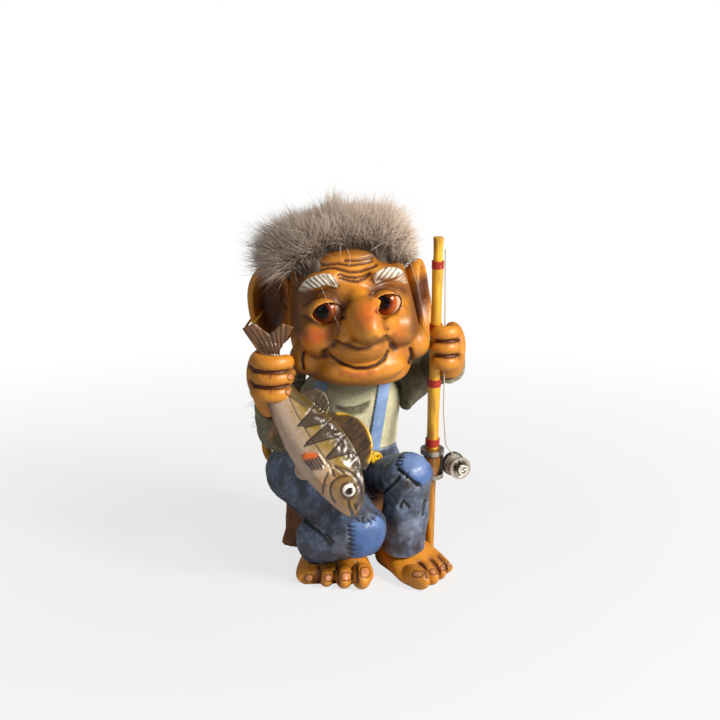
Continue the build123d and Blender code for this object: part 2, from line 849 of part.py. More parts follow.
def make_cane():
    """A butt stick that thickens into jointed cane above the grip."""
    pieces = [peg(rod_foot - rod_axis * 5, on_rod(grip_top), butt_radius)]
    edges = [grip_top, *whipping_starts[1:], rod_length]
    for start, end in zip(edges, edges[1:]):
        radius = cane_radius_at(start)
        length = (on_rod(end) - on_rod(start)).length
        profile = make_face(
            Polyline((0, 0), (radius, 0), (radius, 0.02 * length))
            + ThreePointArc(
                (radius, 0.02 * length), (radius - 0.18, length / 2), (radius + 0.12, 0.98 * length)
            )
            + Polyline((radius + 0.12, 0.98 * length), (radius + 0.12, length), (0, length), (0, 0))
        )
        pieces.append(rod_plane(start) * revolve(Plane.XZ * profile, Axis.Z))
    return Part() + pieces - below(0)


def make_whippings(cane):
    rings = []
    for start in whipping_starts:
        outer = cane_radius_at(start) + whipping_thickness + 0.12
        rings.append(collar_on_rod(start, whipping_width, 0.5, outer) - cane)
    return rings


reel_axis = Vector(math.sin(math.radians(reel_turn)), -math.cos(math.radians(reel_turn)), 0)
reel_mid_height = grip_height + 0.42 * grip_length
reel_centre = on_rod(reel_mid_height) + Vector(seat_ring_radius + reel_radius + 0.9, -3.0, 0)


def reel_plane(forward):
    """A plane square to the reel's axle, at a distance in front of the reel's back."""
    return Plane(reel_centre + reel_axis * (forward - reel_width / 2), x_dir=(0, 0, 1), z_dir=reel_axis)


def drum(start, length, radius):
    return reel_plane(start) * Cylinder(radius, length, align=(Align.CENTER, Align.CENTER, Align.MIN))


back_plate = 1.4


def make_reel_frame(rings):
    """The back plate with its axle, and the stem that joins it to the foot under the rings."""
    plate = drum(-back_plate, back_plate, reel_radius + 0.4)
    axle = drum(-0.5, reel_width - 2.4, reel_axle_radius)
    hub = drum(-back_plate - 2.4, 2.9, 2.2)
    stem_end = reel_centre - reel_axis * (reel_width / 2 + back_plate + 1.2)
    stem = peg(on_rod(reel_mid_height), stem_end, 1.1)
    foot = rod_plane(grip_height + 0.6) * Pos(grip_radius + 0.5, 0, 0) * Box(
        1.4, 3.4, grip_length - 1.2, align=(Align.CENTER, Align.CENTER, Align.MIN)
    )
    core = peg(on_rod(grip_height - 2), on_rod(grip_top + 2), grip_radius)
    return plate + [axle, hub, stem, foot] - [core, *rings]


def make_spool():
    """Two flanges on a hub, dished in front, which turn on the axle."""
    gap = turning_face_gap
    length = reel_width - gap
    spool = drum(gap, reel_flange, reel_radius)
    spool += drum(gap, length, 0.72 * reel_radius)
    spool += drum(gap + length - reel_flange, reel_flange, reel_radius)
    spool -= drum(gap + length - 1.6, 4, 0.6 * reel_radius)
    return spool - drum(-1, reel_width - 1.9 + gap, reel_axle_radius + running_gap)


def make_knob():
    start = reel_width - 1.6
    stalk = drum(start, 2.4, 1.3)
    head = drum(start + 2.0, reel_knob_length - 1.2, reel_knob_radius)
    dish = reel_plane(start + reel_knob_length + 0.8) * Sphere(1.6)
    return stalk + head - dish


def make_winding():
    gap = turning_face_gap
    inner = 0.72 * reel_radius
    return drum(gap + reel_flange, reel_width - gap - 2 * reel_flange, inner + 0.9) - drum(0, reel_width, inner)


line_offset = cane_radius + 1.4


def line_points():
    """The line: off the top of the spool, up beside the cane and through the fist to the tip."""
    low = on_rod(grip_top + 1)
    high = on_rod(rod_length - 6)
    return [
        reel_centre + Vector(-1.5, -1.0, 0.72 * reel_radius + 1.5),
        low + Vector(seat_ring_radius + 0.6, -2.0, 1.0),
        on_rod(grip_top + 20) + Vector(line_offset + 0.4, -1.5, 0),
        on_rod(left_fist_centre.Z) + Vector(line_offset, -1.0, 0),
        high + Vector(cane_radius_at(rod_length) + whipping_thickness + 0.12 + line_radius + glue_gap, 0, 0),
    ]


def line_tube(radius):
    points = line_points()
    path = FilletPolyline(*points, radius=8.0)
    return sweep(Plane(points[0], z_dir=path.tangent_at(0)) * Circle(radius), path)


# Assembly


def build():
    parts = {}
    stump = make_stump()
    seat_raw = seat_body()
    shirt_raw = loft(shirt_sections(0))
    parts["stump_seat"] = stump
    parts["trousers_seat"] = make_seat()
    parts["shirt"] = make_shirt()
    bounds = [seat_raw, stump, shirt_raw]
    right_button_room = button_place(-24) * Cylinder(button_radius + 3 * glue_gap, 12)
    left_button_room = button_place(9.5) * Cylinder(button_radius + 3 * glue_gap, 12)
    right_leg = make_leg(
        right_hip,
        right_knee,
        right_hem,
        right_thigh_radius,
        right_knee_radius,
        right_shin_radius,
        bounds + [right_button_room],
    )
    left_leg = make_leg(
        left_hip,
        left_knee,
        left_hem,
        left_thigh_radius,
        left_knee_radius,
        left_shin_radius,
        bounds + [left_button_room],
    )
    parts["right_leg"] = right_leg
    parts["left_leg"] = left_leg
    parts["right_foot"] = make_foot(right_heel, right_foot_turn, right_foot_half_width, 1, right_leg, stump)
    parts["left_foot"] = make_foot(left_heel, left_foot_turn, left_foot_half_width, -1, left_leg, stump)
    right_brace = make_brace(shirt_raw, seat_raw, -24, -16)
    left_brace = make_brace(shirt_raw, seat_raw, 9.5, 15)
    right_sleeve = make_sleeve(right_shoulder, right_elbow, right_wrist, right_elbow_radius, shirt_raw)
    left_sleeve = make_sleeve(left_shoulder, left_elbow, left_wrist, left_elbow_radius, shirt_raw)
    parts["right_sleeve"] = right_sleeve - right_brace
    parts["left_sleeve"] = left_sleeve - left_brace
    parts["right_brace"] = right_brace
    parts["left_brace"] = left_brace
    parts["right_button"] = make_button(-24, seat_raw)
    parts["left_button"] = make_button(9.5, seat_raw)
    parts["neck_peg"] = peg(
        (neck_x, neck_y, collar_z - neck_peg_in_shirt),
        (neck_x, neck_y, head_base_z + neck_peg_in_head),
        neck_peg_radius,
    )
    fish = make_fish()
    parts["fish"] = fish
    cane = make_cane()
    grip = collar_on_rod(grip_height, grip_length, butt_radius, grip_radius)
    rings = [
        collar_on_rod(start, seat_ring_width, grip_radius, seat_ring_radius)
        for start in (grip_height, grip_top - seat_ring_width)
    ]
    parts["rod_cane"] = cane
    parts["rod_grip"] = grip
    parts["rod_whippings"] = Compound(children=make_whippings(cane))
    parts["reel_rings"] = Compound(children=rings)
    parts["reel_frame"] = make_reel_frame(rings)
    parts["reel_spool"] = make_spool()
    parts["reel_winding"] = make_winding()
    parts["reel_knob"] = make_knob()
    parts["fishing_line"] = line_tube(line_radius)
    parts["right_fist"] = make_fist(
        right_fist_centre,
        right_fist_radius,
        170,
        160,
        150,
        right_wrist,
        right_elbow,
        right_sleeve,
        [fish_body(3, 3 * glue_gap)],
    )
    rod_bore = peg(on_rod(grip_top + 20), on_rod(rod_length), cane_radius + glue_gap)
    line_bore = line_tube(line_radius + line_clearance)
    parts["left_fist"] = make_fist(
        left_fist_centre,
        left_fist_radius,
        -148,
        158,
        30,
        left_wrist,
        left_elbow,
        left_sleeve,
        [rod_bore, line_bore],
    )
    parts["tail"], parts["tail_tuft"] = make_tail(seat_raw, stump)
    core = head_core()
    parts["head"] = make_head()
    right_ear = make_ear(-1, right_ear_turn, right_ear_spread, core) - make_ear_ring(ear_ring_wire + glue_gap)
    left_ear = make_ear(1, left_ear_turn, left_ear_spread, core)
    parts["right_ear"] = right_ear
    parts["left_ear"] = left_ear
    parts["ear_ring"] = make_ear_ring(ear_ring_wire)
    parts["right_eye"] = make_eye(-1)
    parts["left_eye"] = make_eye(1)
    parts["wig"] = make_wig(core, [right_ear, left_ear])
    return parts


def main():
    os.makedirs("parts", exist_ok=True)
    for name, solid in build().items():
        export_step(solid, f"parts/{name}.step")


if __name__ == "__main__":
    main()
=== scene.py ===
import math

import bpy
import numpy as np
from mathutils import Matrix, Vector, noise
from mathutils.bvhtree import BVHTree


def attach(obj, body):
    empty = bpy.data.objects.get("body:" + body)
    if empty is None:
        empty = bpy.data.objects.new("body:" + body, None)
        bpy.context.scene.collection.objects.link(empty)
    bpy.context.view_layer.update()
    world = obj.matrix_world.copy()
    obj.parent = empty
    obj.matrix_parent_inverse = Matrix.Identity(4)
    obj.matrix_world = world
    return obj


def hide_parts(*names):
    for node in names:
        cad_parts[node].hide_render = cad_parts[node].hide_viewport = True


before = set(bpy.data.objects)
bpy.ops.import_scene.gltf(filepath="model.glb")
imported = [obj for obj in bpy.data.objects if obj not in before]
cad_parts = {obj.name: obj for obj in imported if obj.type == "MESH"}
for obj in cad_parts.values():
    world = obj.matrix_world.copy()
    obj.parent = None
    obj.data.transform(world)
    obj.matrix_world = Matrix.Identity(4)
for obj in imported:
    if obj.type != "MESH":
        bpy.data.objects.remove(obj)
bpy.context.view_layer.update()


# Tree-stump seat
# The stump that the figure sits on: a resin casting with bark ridges, painted brown, paler on its ridges as
# rubbed paint and painted highlight, and darker in its hollows as a dark wash and painted shade. It stands
# flat on the table, and the trousers' peg is glued into its top.
bark_brown, bark_rubbed_and_highlight, bark_wash_and_shade = "7a4a20", "a9692a", "2a180c"
millimetre = 0.001
merge_gap = 0.002


def merged_copy(node, ending):
    """A selected copy of a CAD node's mesh, with its doubled points merged and without a material."""
    bpy.ops.object.select_all(action="DESELECT")
    piece = bpy.data.objects.new(node + ending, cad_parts[node].data.copy())
    bpy.context.scene.collection.objects.link(piece)
    bpy.context.view_layer.objects.active = piece
    piece.select_set(True)
    bpy.ops.object.mode_set(mode="EDIT")
    bpy.ops.mesh.select_all(action="SELECT")
    bpy.ops.mesh.remove_doubles(threshold=merge_gap * millimetre)
    bpy.ops.object.mode_set(mode="OBJECT")
    piece.data.materials.clear()
    return piece


def cast_copy(node, grain, rounds):
    """An even, fine copy of a CAD node's mesh that can be carved and painted, grain in millimetres."""
    piece = merged_copy(node, "_cast")
    even = piece.modifiers.new("even", "REMESH")
    even.mode = "VOXEL"
    even.voxel_size = grain * millimetre
    bpy.ops.object.modifier_apply(modifier=even.name)
    soft = piece.modifiers.new("soft", "SMOOTH")
    soft.factor = 0.5
    soft.iterations = rounds
    bpy.ops.object.modifier_apply(modifier=soft.name)
    bpy.ops.object.shade_smooth()
    return piece


def crumple(piece, size, depth):
    """Pushes a piece's skin in and out by soft clouds, both in millimetres."""
    clouds = bpy.data.textures.new(piece.name + "_clouds", "CLOUDS")
    clouds.noise_scale = size * millimetre
    clouds.noise_depth = 1
    push = piece.modifiers.new("push", "DISPLACE")
    push.texture = clouds
    push.texture_coords = "LOCAL"
    push.strength = depth * millimetre
    push.mid_level = 0.5
    bpy.context.view_layer.objects.active = piece
    bpy.ops.object.modifier_apply(modifier=push.name)


def measure(piece):
    """A mesh's points in millimetres, its normals and its edges, as arrays."""
    mesh = piece.data
    points = np.empty(len(mesh.vertices) * 3, np.float32)
    mesh.vertices.foreach_get("co", points)
    normals = np.empty(len(mesh.vertices) * 3, np.float32)
    mesh.vertex_normals.foreach_get("vector", normals)
    edges = np.empty(len(mesh.edges) * 2, np.int32)
    mesh.edges.foreach_get("vertices", edges)
    return points.reshape(-1, 3) / millimetre, normals.reshape(-1, 3), edges.reshape(-1, 2)


def put_points(piece, points):
    """Gives a mesh its points back, from millimetres."""
    piece.data.vertices.foreach_set("co", (points * millimetre).astype(np.float32).ravel())
    piece.data.update()


def stand(points):
    """Keeps a piece's underside on the table."""
    points = points.copy()
    points[:, 2] = np.maximum(points[:, 2], 0)
    return points


def settle(values, edges, rounds):
    """Evens out a value, or a point, with its neighbours along the mesh's edges."""
    starts = np.concatenate([edges[:, 0], edges[:, 1]])
    ends = np.concatenate([edges[:, 1], edges[:, 0]])
    share = np.maximum(np.bincount(starts, minlength=len(values)), 1)
    for _ in range(rounds):
        means = [np.bincount(starts, weights=c[ends], minlength=len(values)) / share for c in values.T]
        values = 0.5 * values + 0.5 * np.stack(means, axis=1)
    return values


def relief(points, normals, edges, rounds):
    """How far each point stands proud of its surroundings, in millimetres: below zero in a hollow."""
    return ((points - settle(points, edges, rounds)) * normals).sum(axis=1)


def colour(code):
    """A paint's linear colour from its six-digit screen code."""
    channels = np.array([int(code[i:i + 2], 16) / 255 for i in (0, 2, 4)])
    return np.where(channels <= 0.04045, channels / 12.92, ((channels + 0.055) / 1.055) ** 2.4)


def ground(points, code):
    """A first coat of one colour."""
    return np.tile(colour(code), (len(points), 1))


def wash(paint, *colours):
    """Brushes more colours over a coat of paint in turn, each with its weight at every point."""
    for code, weight in colours:
        share = np.clip(weight, 0, 1)[:, None]
        paint = paint * (1 - share) + colour(code) * share
    return paint


def mottle(points, size):
    """Soft random blotches from 0 to 1, at a size in millimetres."""
    blotches = [noise.noise(Vector(point) / size) for point in points.tolist()]
    return np.clip(0.5 + 0.5 * np.array(blotches), 0, 1)


def lay_paint(piece, paint):
    """Keeps the coat of paint on the mesh as a colour attribute."""
    layer = piece.data.color_attributes.new("paint", "FLOAT_COLOR", "POINT")
    coat = np.ones((len(paint), 4), np.float32)
    coat[:, :3] = paint
    layer.data.foreach_set("color", coat.ravel())


def new_finish(name):
    """A new material with its main shader, its nodes and the call that links them."""
    material = bpy.data.materials.new(name)
    material.use_nodes = True
    nodes = material.node_tree.nodes
    return material, nodes["Principled BSDF"], nodes, material.node_tree.links.new


def set_inputs(node, values):
    """Sets a shader node's inputs by their names."""
    for name, value in values.items():
        node.inputs[name].default_value = value


def painted(name, roughness, coat, speck, speck_depth, bump, stretch=(1, 1, 1)):
    """A painted finish: the piece's own coat of paint, broken by fine specks that also roughen it."""
    material, shader, nodes, link = new_finish(name)
    set_inputs(shader, {"Roughness": roughness, "Coat Weight": coat, "Coat Roughness": 0.25})
    paint = nodes.new("ShaderNodeAttribute")
    paint.attribute_name = "paint"
    place = nodes.new("ShaderNodeTexCoord")
    lay = nodes.new("ShaderNodeMapping")
    set_inputs(lay, {"Scale": stretch})
    specks = nodes.new("ShaderNodeTexNoise")
    set_inputs(specks, {"Scale": 1 / (speck * millimetre), "Detail": 4})
    tone = nodes.new("ShaderNodeMapRange")
    set_inputs(tone, {"From Min": 0.3, "From Max": 0.7})
    set_inputs(tone, {"To Min": 1 - speck_depth, "To Max": 1 + 0.4 * speck_depth})
    shade = nodes.new("ShaderNodeVectorMath")
    shade.operation = "SCALE"
    rough = nodes.new("ShaderNodeBump")
    set_inputs(rough, {"Strength": 1, "Distance": bump * millimetre})
    link(place.outputs["Object"], lay.inputs["Vector"])
    link(lay.outputs["Vector"], specks.inputs["Vector"])
    link(specks.outputs["Fac"], tone.inputs["Value"])
    link(paint.outputs["Color"], shade.inputs[0])
    link(tone.outputs["Result"], shade.inputs["Scale"])
    link(shade.outputs["Vector"], shader.inputs["Base Color"])
    link(specks.outputs["Fac"], rough.inputs["Height"])
    link(rough.outputs["Normal"], shader.inputs["Normal"])
    return material


def dress(piece, node, body, material):
    """Puts a finished piece in its CAD node's place."""
    piece.data.materials.append(material)
    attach(piece, body)
    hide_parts(node)


stump_bark = painted("stump_bark", roughness=0.55, coat=0.1, speck=3, speck_depth=0.35, bump=0.5,
                     stretch=(1, 1, 0.25))
stump = cast_copy("stump_seat", grain=1, rounds=1)
crumple(stump, size=6, depth=1.2)
points, normals, edges = measure(stump)
put_points(stump, stand(points))
proud = relief(points, normals, edges, rounds=25)
# paler on the ridges as rubbed paint and painted highlight, darker in the hollows as dark wash and painted
# shade
paint = wash(ground(points, bark_brown), (bark_rubbed_and_highlight, 0.9 * proud), (bark_wash_and_shade, -1.3 * proud))
lay_paint(stump, paint)
dress(stump, "stump_seat", "figure", stump_bark)


# Trousers
# Patched denim trousers: a seat and two legs cast in resin, pegged together at the hips. The denim is dark
# slate, rubbed pale on its folds with a painted highlight, with painted shade in its hollows and carved
# creases, and with bright blue knee patches, paler on top as painted highlight, sewn on by carved stitches.
slate, faded_blue, fold_rubbed_and_highlight, brown_stain = "434c60", "637698", "93a2bc", "2c2219"
denim_wash_and_shade, chalk_blue, patch_blue, patch_top_highlight = "120e0b", "8c94aa", "42649f", "84a0d0"
patch_dark, stitch_dark_and_crease_shade = "232a44", "140f0c"
picture_side = 720
camera_lens = 60
camera_sensor = 36
camera_lift = math.radians(13)
camera_distance = 600
camera_aim = np.array([2.5, 0, 102.5])
look_along = np.array([0, math.cos(camera_lift), -math.sin(camera_lift)])
look_up = np.array([0, math.sin(camera_lift), math.cos(camera_lift)])
camera_place = camera_aim - camera_distance * look_along


def picture(points):
    """Where points in millimetres fall in the photograph, in its dots from the left and from the top."""
    away = points - camera_place
    depth = away @ look_along
    scale = picture_side * camera_lens / camera_sensor
    half = picture_side / 2
    return half + scale * away[:, 0] / depth, half - scale * (away @ look_up) / depth


def front(normals):
    """1 where a surface faces the viewer of the photograph, and 0 where it turns away."""
    return np.clip(0.2 - 3 * (normals @ look_along), 0, 1)


def line_distance(dots, line):
    """Distance of each point from a drawn line, in picture dots."""
    across, down = dots
    nearest = np.full(len(across), 1e9)
    for (u0, v0), (u1, v1) in zip(line, line[1:]):
        run = max((u1 - u0) ** 2 + (v1 - v0) ** 2, 1e-6)
        share = np.clip(((across - u0) * (u1 - u0) + (down - v0) * (v1 - v0)) / run, 0, 1)
        gap = np.hypot(across - u0 - share * (u1 - u0), down - v0 - share * (v1 - v0))
        nearest = np.minimum(nearest, gap)
    return nearest


def stroke(dots, line, width):
    """The weight of a brush or a carving tool drawn along a line, soft at its edges."""
    return np.exp(-(line_distance(dots, line) / width) ** 2)


def strokes(dots, lines, width):
    """The weight of several strokes together."""
    return np.max([stroke(dots, line, width) for line in lines], axis=0)


def area(dots, outline, edge):
    """1 inside a drawn outline and 0 outside, with a soft edge in picture dots."""
    across, down = dots
    inside = np.zeros(len(across), bool)
    closed = outline + outline[:1]
    for (u0, v0), (u1, v1) in zip(closed, closed[1:]):
        if v0 != v1:
            crosses = (v0 > down) != (v1 > down)
            inside ^= crosses & (across < (u1 - u0) * (down - v0) / (v1 - v0) + u0)
    gap = line_distance(dots, closed)
    return np.clip(0.5 + np.where(inside, gap, -gap) / edge, 0, 1)


def spot(dots, centre, half_width, half_height):
    """A soft oval dab of paint."""
    across, down = dots
    u = (across - centre[0]) / half_width
    v = (down - centre[1]) / half_height
    return np.clip(1.5 - np.hypot(u, v) * 1.5, 0, 1)


right_patch = [(350, 523), (357.4, 522), (365.6, 522.9), (372.3, 519.6), (378.1, 514.6), (384, 522.9),
               (384, 538), (379, 549), (368, 557), (351, 558), (351.6, 547.8), (352.4, 539.5), (350.7, 531)]
right_stitches = [[(348, v), (354.5, v + 1)] for v in (526, 530, 534.5, 539, 543.5, 548, 552.5)]
right_stitches += [[(355, 517), (359, 521)], [(362, 517), (363, 523)], [(367, 518), (371, 524)],
                   [(371, 515), (374.5, 520.5)], [(376, 512), (379, 517)]]
right_creases = [[(282.7, 501.4), (296.8, 512.1), (308.4, 522.9), (321.7, 534.5)],
                 [(322.5, 535.4), (330, 544.5)], [(325, 533.5), (332.5, 542.5)]]
left_patch = [(396.8, 463.7), (405.2, 453.8), (412, 452), (422.8, 456), (429.7, 463), (433, 472),
              (429, 479.8), (422.8, 485), (414.4, 481.3), (406.8, 474.4)]
left_stitches = [[(398, 457.5), (404, 458.5)], [(397.5, 461), (403, 462)], [(396.5, 464.5), (402, 465)],
                 [(415, 481), (418, 486.5)], [(418, 482), (421, 487)], [(408, 473), (406, 478)]]
left_creases = [[(398.4, 469), (408, 477.5), (418.3, 486)], [(400, 507.5), (403, 501.5), (408.5, 507.5)],
                [(383, 493), (392, 485), (399, 477)], [(425.5, 501), (423.5, 515)]]
right_hem_patch = [(333, 537), (349, 533), (349, 556), (333, 552)]
left_hem_patch = [(399, 524), (421, 515), (421, 531), (399, 543)]


def denim_paint(piece, patch, stitches, creases, pale):
    """Carves and paints one cloth piece of the trousers, with painted highlight and painted shade."""
    points, normals, edges = measure(piece)
    dots = picture(points)
    seen = front(normals)
    sewn = area(dots, patch, 1.5) * seen
    seams = strokes(dots, stitches, 0.8) * seen
    folds = strokes(dots, creases, 1.5) * seen
    points = points + normals * (0.7 * sewn - 0.5 * seams - 1.0 * folds)[:, None]
    put_points(piece, points)
    proud = relief(points, normals, edges, rounds=30)
    blotches = mottle(points, size=7)
    grain = mottle(points, size=2.2)
    paint = wash(
        ground(points, slate),
        (faded_blue, 1.7 * (blotches - 0.4) + 0.5 * (grain - 0.5)),
        # paler on the folds: rubbed paint and painted highlight
        (fold_rubbed_and_highlight, 1.5 * proud * (1 - sewn) + 0.9 * (grain - 0.62)),
        (brown_stain, 2.4 * (0.46 - blotches) + 0.9 * (grain - 0.56)),
        # darker in the hollows: dark wash and painted shade
        (denim_wash_and_shade, -1.9 * proud),
        (chalk_blue, 0.45 * area(dots, pale, 4) * seen * (0.4 + grain)),
        (patch_blue, sewn * (0.8 + 0.3 * grain)),
        # paler where the patches face upwards: painted highlight
        (patch_top_highlight, 0.55 * sewn * np.clip(normals[:, 2], 0, 1)),
        (patch_dark, 1.2 * sewn * (0.52 - blotches)),
        # dark stitches, and painted shade in the carved creases
        (stitch_dark_and_crease_shade, 0.95 * np.maximum(seams, 0.9 * folds)),
    )
    lay_paint(piece, paint)


denim = painted("denim", roughness=0.45, coat=0.15, speck=0.9, speck_depth=0.18, bump=0.12)
nowhere = [(0, 0), (1, 0), (1, 1)]
nothing = [[(0, 0), (1, 0)]]
trousers_seat = cast_copy("trousers_seat", grain=0.8, rounds=3)
right_leg = cast_copy("right_leg", grain=0.5, rounds=14)
left_leg = cast_copy("left_leg", grain=0.5, rounds=14)
for piece in (trousers_seat, right_leg, left_leg):
    crumple(piece, size=11, depth=1.6)
    crumple(piece, size=4, depth=0.6)
denim_paint(trousers_seat, nowhere, nothing, nothing, nowhere)
denim_paint(right_leg, right_patch, right_stitches, right_creases, right_hem_patch)
denim_paint(left_leg, left_patch, left_stitches, left_creases, left_hem_patch)
for piece, node in ((trousers_seat, "trousers_seat"), (right_leg, "right_leg"), (left_leg, "left_leg")):
    dress(piece, node, "figure", denim)


# Bare feet
# Two broad feet cast in resin and bedded under the trouser hems, with four toes and carved nails. The
# skin is ochre, with a painted highlight on what stands out and a dark wash with painted shade in the
# creases.
ochre, tan, skin_ridge_highlight, umber_wash_and_shade = "cb8420", "a8621a", "dfa03c", "6d3712"
crease_wash_and_shade, nail_pink, nail_edge, gap_wash_and_shade = "2e1508", "b9785c", "4a1e10", "2a1006"
skin = painted("skin", roughness=0.46, coat=0.1, speck=2.5, speck_depth=0.14, bump=0.07)


def skin_coat(points, normals, edges, depth):
    """The figure's ochre skin, with a warm painted highlight on what stands out and a dark wash with
    painted shade in the creases.
    """
    proud = relief(points, normals, edges, rounds=30)
    fine = relief(points, normals, edges, rounds=5)
    return wash(
        ground(points, ochre),
        (tan, 0.9 * mottle(points, size=9) - 0.25),
        # lighter on what stands out: painted highlight
        (skin_ridge_highlight, 0.6 * proud),
        # darker in the hollows and fine creases: dark wash and painted shade
        (umber_wash_and_shade, -depth * proud),
        (crease_wash_and_shade, -0.8 * depth * proud - 0.5),
        (crease_wash_and_shade, -8 * fine - 0.2),
    )


def nail_outline(centre, half_width, half_height):
    """A nail's edge as a closed, slightly square ring."""
    squareness = 0.7
    turns = np.linspace(0, 2 * math.pi, 13)
    u = np.sign(np.cos(turns)) * np.abs(np.cos(turns)) ** squareness
    v = np.sign(np.sin(turns)) * np.abs(np.sin(turns)) ** squareness
    return list(zip(centre[0] + half_width * u, centre[1] + half_height * v))


def carve_digits(piece, nails, gaps, depth):
    """Carves nails and the gaps between fingers or toes, and paints a foot or fist, with painted shade in
    the gaps.
    """
    points, normals, edges = measure(piece)
    dots = picture(points)
    seen = front(normals)
    rims = strokes(dots, [nail_outline(*nail) for nail in nails], 0.7) * seen
    between = strokes(dots, gaps, 1.5) * seen
    plates = np.max([spot(dots, *nail) for nail in nails], axis=0) * seen
    points = stand(points - normals * (0.4 * rims + 0.7 * between)[:, None])
    put_points(piece, points)
    paint = wash(
        skin_coat(points, normals, edges, depth),
        (nail_pink, 0.8 * plates),
        (nail_edge, 0.75 * rims),
        # the gaps between toes or fingers, painted dark as shade
        (gap_wash_and_shade, 0.95 * between),
        # a wider painted shade round the gaps
        (umber_wash_and_shade, 0.6 * strokes(dots, gaps, 4) * seen),
    )
    return points, normals, paint


right_toe_nails = [((309, 578), 4.6, 4), ((328.5, 578), 4.6, 4), ((346.4, 576.5), 5.6, 4.6),
                   ((365, 572), 5.4, 5.5)]
left_toe_nails = [((417, 574), 5.4, 3.4), ((433, 571.5), 3.8, 3.2), ((442.9, 568), 3.4, 3),
                  ((449.5, 564), 2.4, 2.6)]
right_toe_gaps = [[(319, 566), (319.5, 574), (319, 583)], [(337, 565), (337.5, 574), (338, 583)],
                  [(356, 563), (356.5, 572), (357, 582)]]
left_toe_gaps = [[(419, 562), (424, 568), (427, 577)], [(431, 559), (436.5, 566), (439, 573)],
                 [(439, 556), (444, 562), (446, 569)]]
for name, nails, gaps in (("right_foot", right_toe_nails, right_toe_gaps),
                          ("left_foot", left_toe_nails, left_toe_gaps)):
    foot = cast_copy(name, grain=0.45, rounds=6)
    points, normals, paint = carve_digits(foot, nails, gaps, depth=1.4)
    lay_paint(foot, paint)
    dress(foot, name, "figure", skin)


# Shirt and sleeves
# A collarless shirt: the body is a resin casting on a spigot in the trousers' waist, stippled to look
# like wool and painted pale green, with dark knitted sleeves pegged in at the shoulders. Body and sleeves
# carry painted highlight on their ridges and painted shade in their hollows, and the body also has painted
# shade in its chest fold and painted shadows of the fish and the chin.
wool, wool_rubbed_and_highlight, wool_worn_and_shade, wool_cast_shadow = "dad7b2", "f0efd8", "8a8460", "4e472c"
fold_shade, knit, knit_rubbed_and_highlight, knit_hollow_shade = "4a4634", "68634e", "aaa486", "171410"
shirt_wool = painted("shirt_wool", roughness=0.6, coat=0.05, speck=0.8, speck_depth=0.22, bump=0.25)
sleeve_wool = painted("sleeve_wool", roughness=0.6, coat=0.05, speck=1.2, speck_depth=0.3, bump=0.35)
chest_fold = [(334.8, 405.5), (344.4, 408), (355.3, 406.8), (369.3, 401.7), (368, 407.4), (361.6, 415),
              (353.3, 417), (343.8, 414.4), (335.5, 410)]
fish_shade = [(300, 380), (318, 388), (334, 404), (350, 420), (362, 446), (340, 450), (300, 420)]
chin_shade = [(312, 378), (335, 387), (360, 388), (385, 382), (398, 372)]
shirt = cast_copy("shirt", grain=0.65, rounds=6)
crumple(shirt, size=12, depth=1.2)
points, normals, edges = measure(shirt)
dots = picture(points)
fold = area(dots, chest_fold, 3) * front(normals)
grain = mottle(points, size=1.1)
points = points + normals * (0.25 * (grain - 0.5) - 0.9 * fold)[:, None]
put_points(shirt, points)
proud = relief(points, normals, edges, rounds=30)
paint = wash(
    ground(points, wool),
    # paler on the ridges: rubbed paint and painted highlight
    (wool_rubbed_and_highlight, 0.9 * proud + 0.5 * (grain - 0.5)),
    # darker in the hollows as painted shade, and in random worn patches
    (wool_worn_and_shade, -1.4 * proud + 0.9 * (0.42 - grain)),
    # painted shadows of the fish and of the chin
    (wool_cast_shadow, 0.75 * area(dots, fish_shade, 16) * front(normals)),
    (wool_cast_shadow, 0.6 * stroke(dots, chin_shade, 9) * front(normals)),
    # painted shade in the carved chest fold
    (fold_shade, 0.8 * fold * (0.55 + 0.8 * grain)),
)
lay_paint(shirt, paint)
dress(shirt, "shirt", "figure", shirt_wool)
for name in ("right_sleeve", "left_sleeve"):
    sleeve = cast_copy(name, grain=0.65, rounds=4)
    crumple(sleeve, size=7, depth=1.4)
    points, normals, edges = measure(sleeve)
    proud = relief(points, normals, edges, rounds=25)
    paint = wash(
        ground(points, knit),
        # paler on the ridges as painted highlight, darker in the hollows as painted shade
        (knit_rubbed_and_highlight, 0.9 * proud + 0.5 * (mottle(points, size=2) - 0.55)),
        (knit_hollow_shade, -1.2 * proud),
    )
    lay_paint(sleeve, paint)
    dress(sleeve, name, "figure", sleeve_wool)


# Braces and buttons
# Pale blue straps over the shoulders, cast on the shirt's shape and glued down, with painted shade in
# their hollows. Each ends at a yellow button with two thread holes, bedded on the trousers, with a painted
# highlight on what stands out and painted shade in its holes and hollows.
felt_blue, felt_pale, felt_hollow_shade, button_yellow = "7f9fd2", "a9c0e6", "47588a", "e6b81e"
button_highlight, button_hollow_shade = "f3d558", "4a2c08"
brace_felt = painted("brace_felt", roughness=0.5, coat=0.1, speck=1, speck_depth=0.12, bump=0.1)
button_enamel = painted("button_enamel", roughness=0.3, coat=0.4, speck=2, speck_depth=0.1, bump=0.03)
for name in ("right_brace", "left_brace"):
    brace = cast_copy(name, grain=0.42, rounds=2)
    points, normals, edges = measure(brace)
    paint = wash(
        ground(points, felt_blue),
        (felt_pale, mottle(points, size=4) - 0.4),
        # painted shade in the straps' hollows
        (felt_hollow_shade, -3 * relief(points, normals, edges, rounds=12)),
    )
    lay_paint(brace, paint)
    dress(brace, name, "figure", brace_felt)
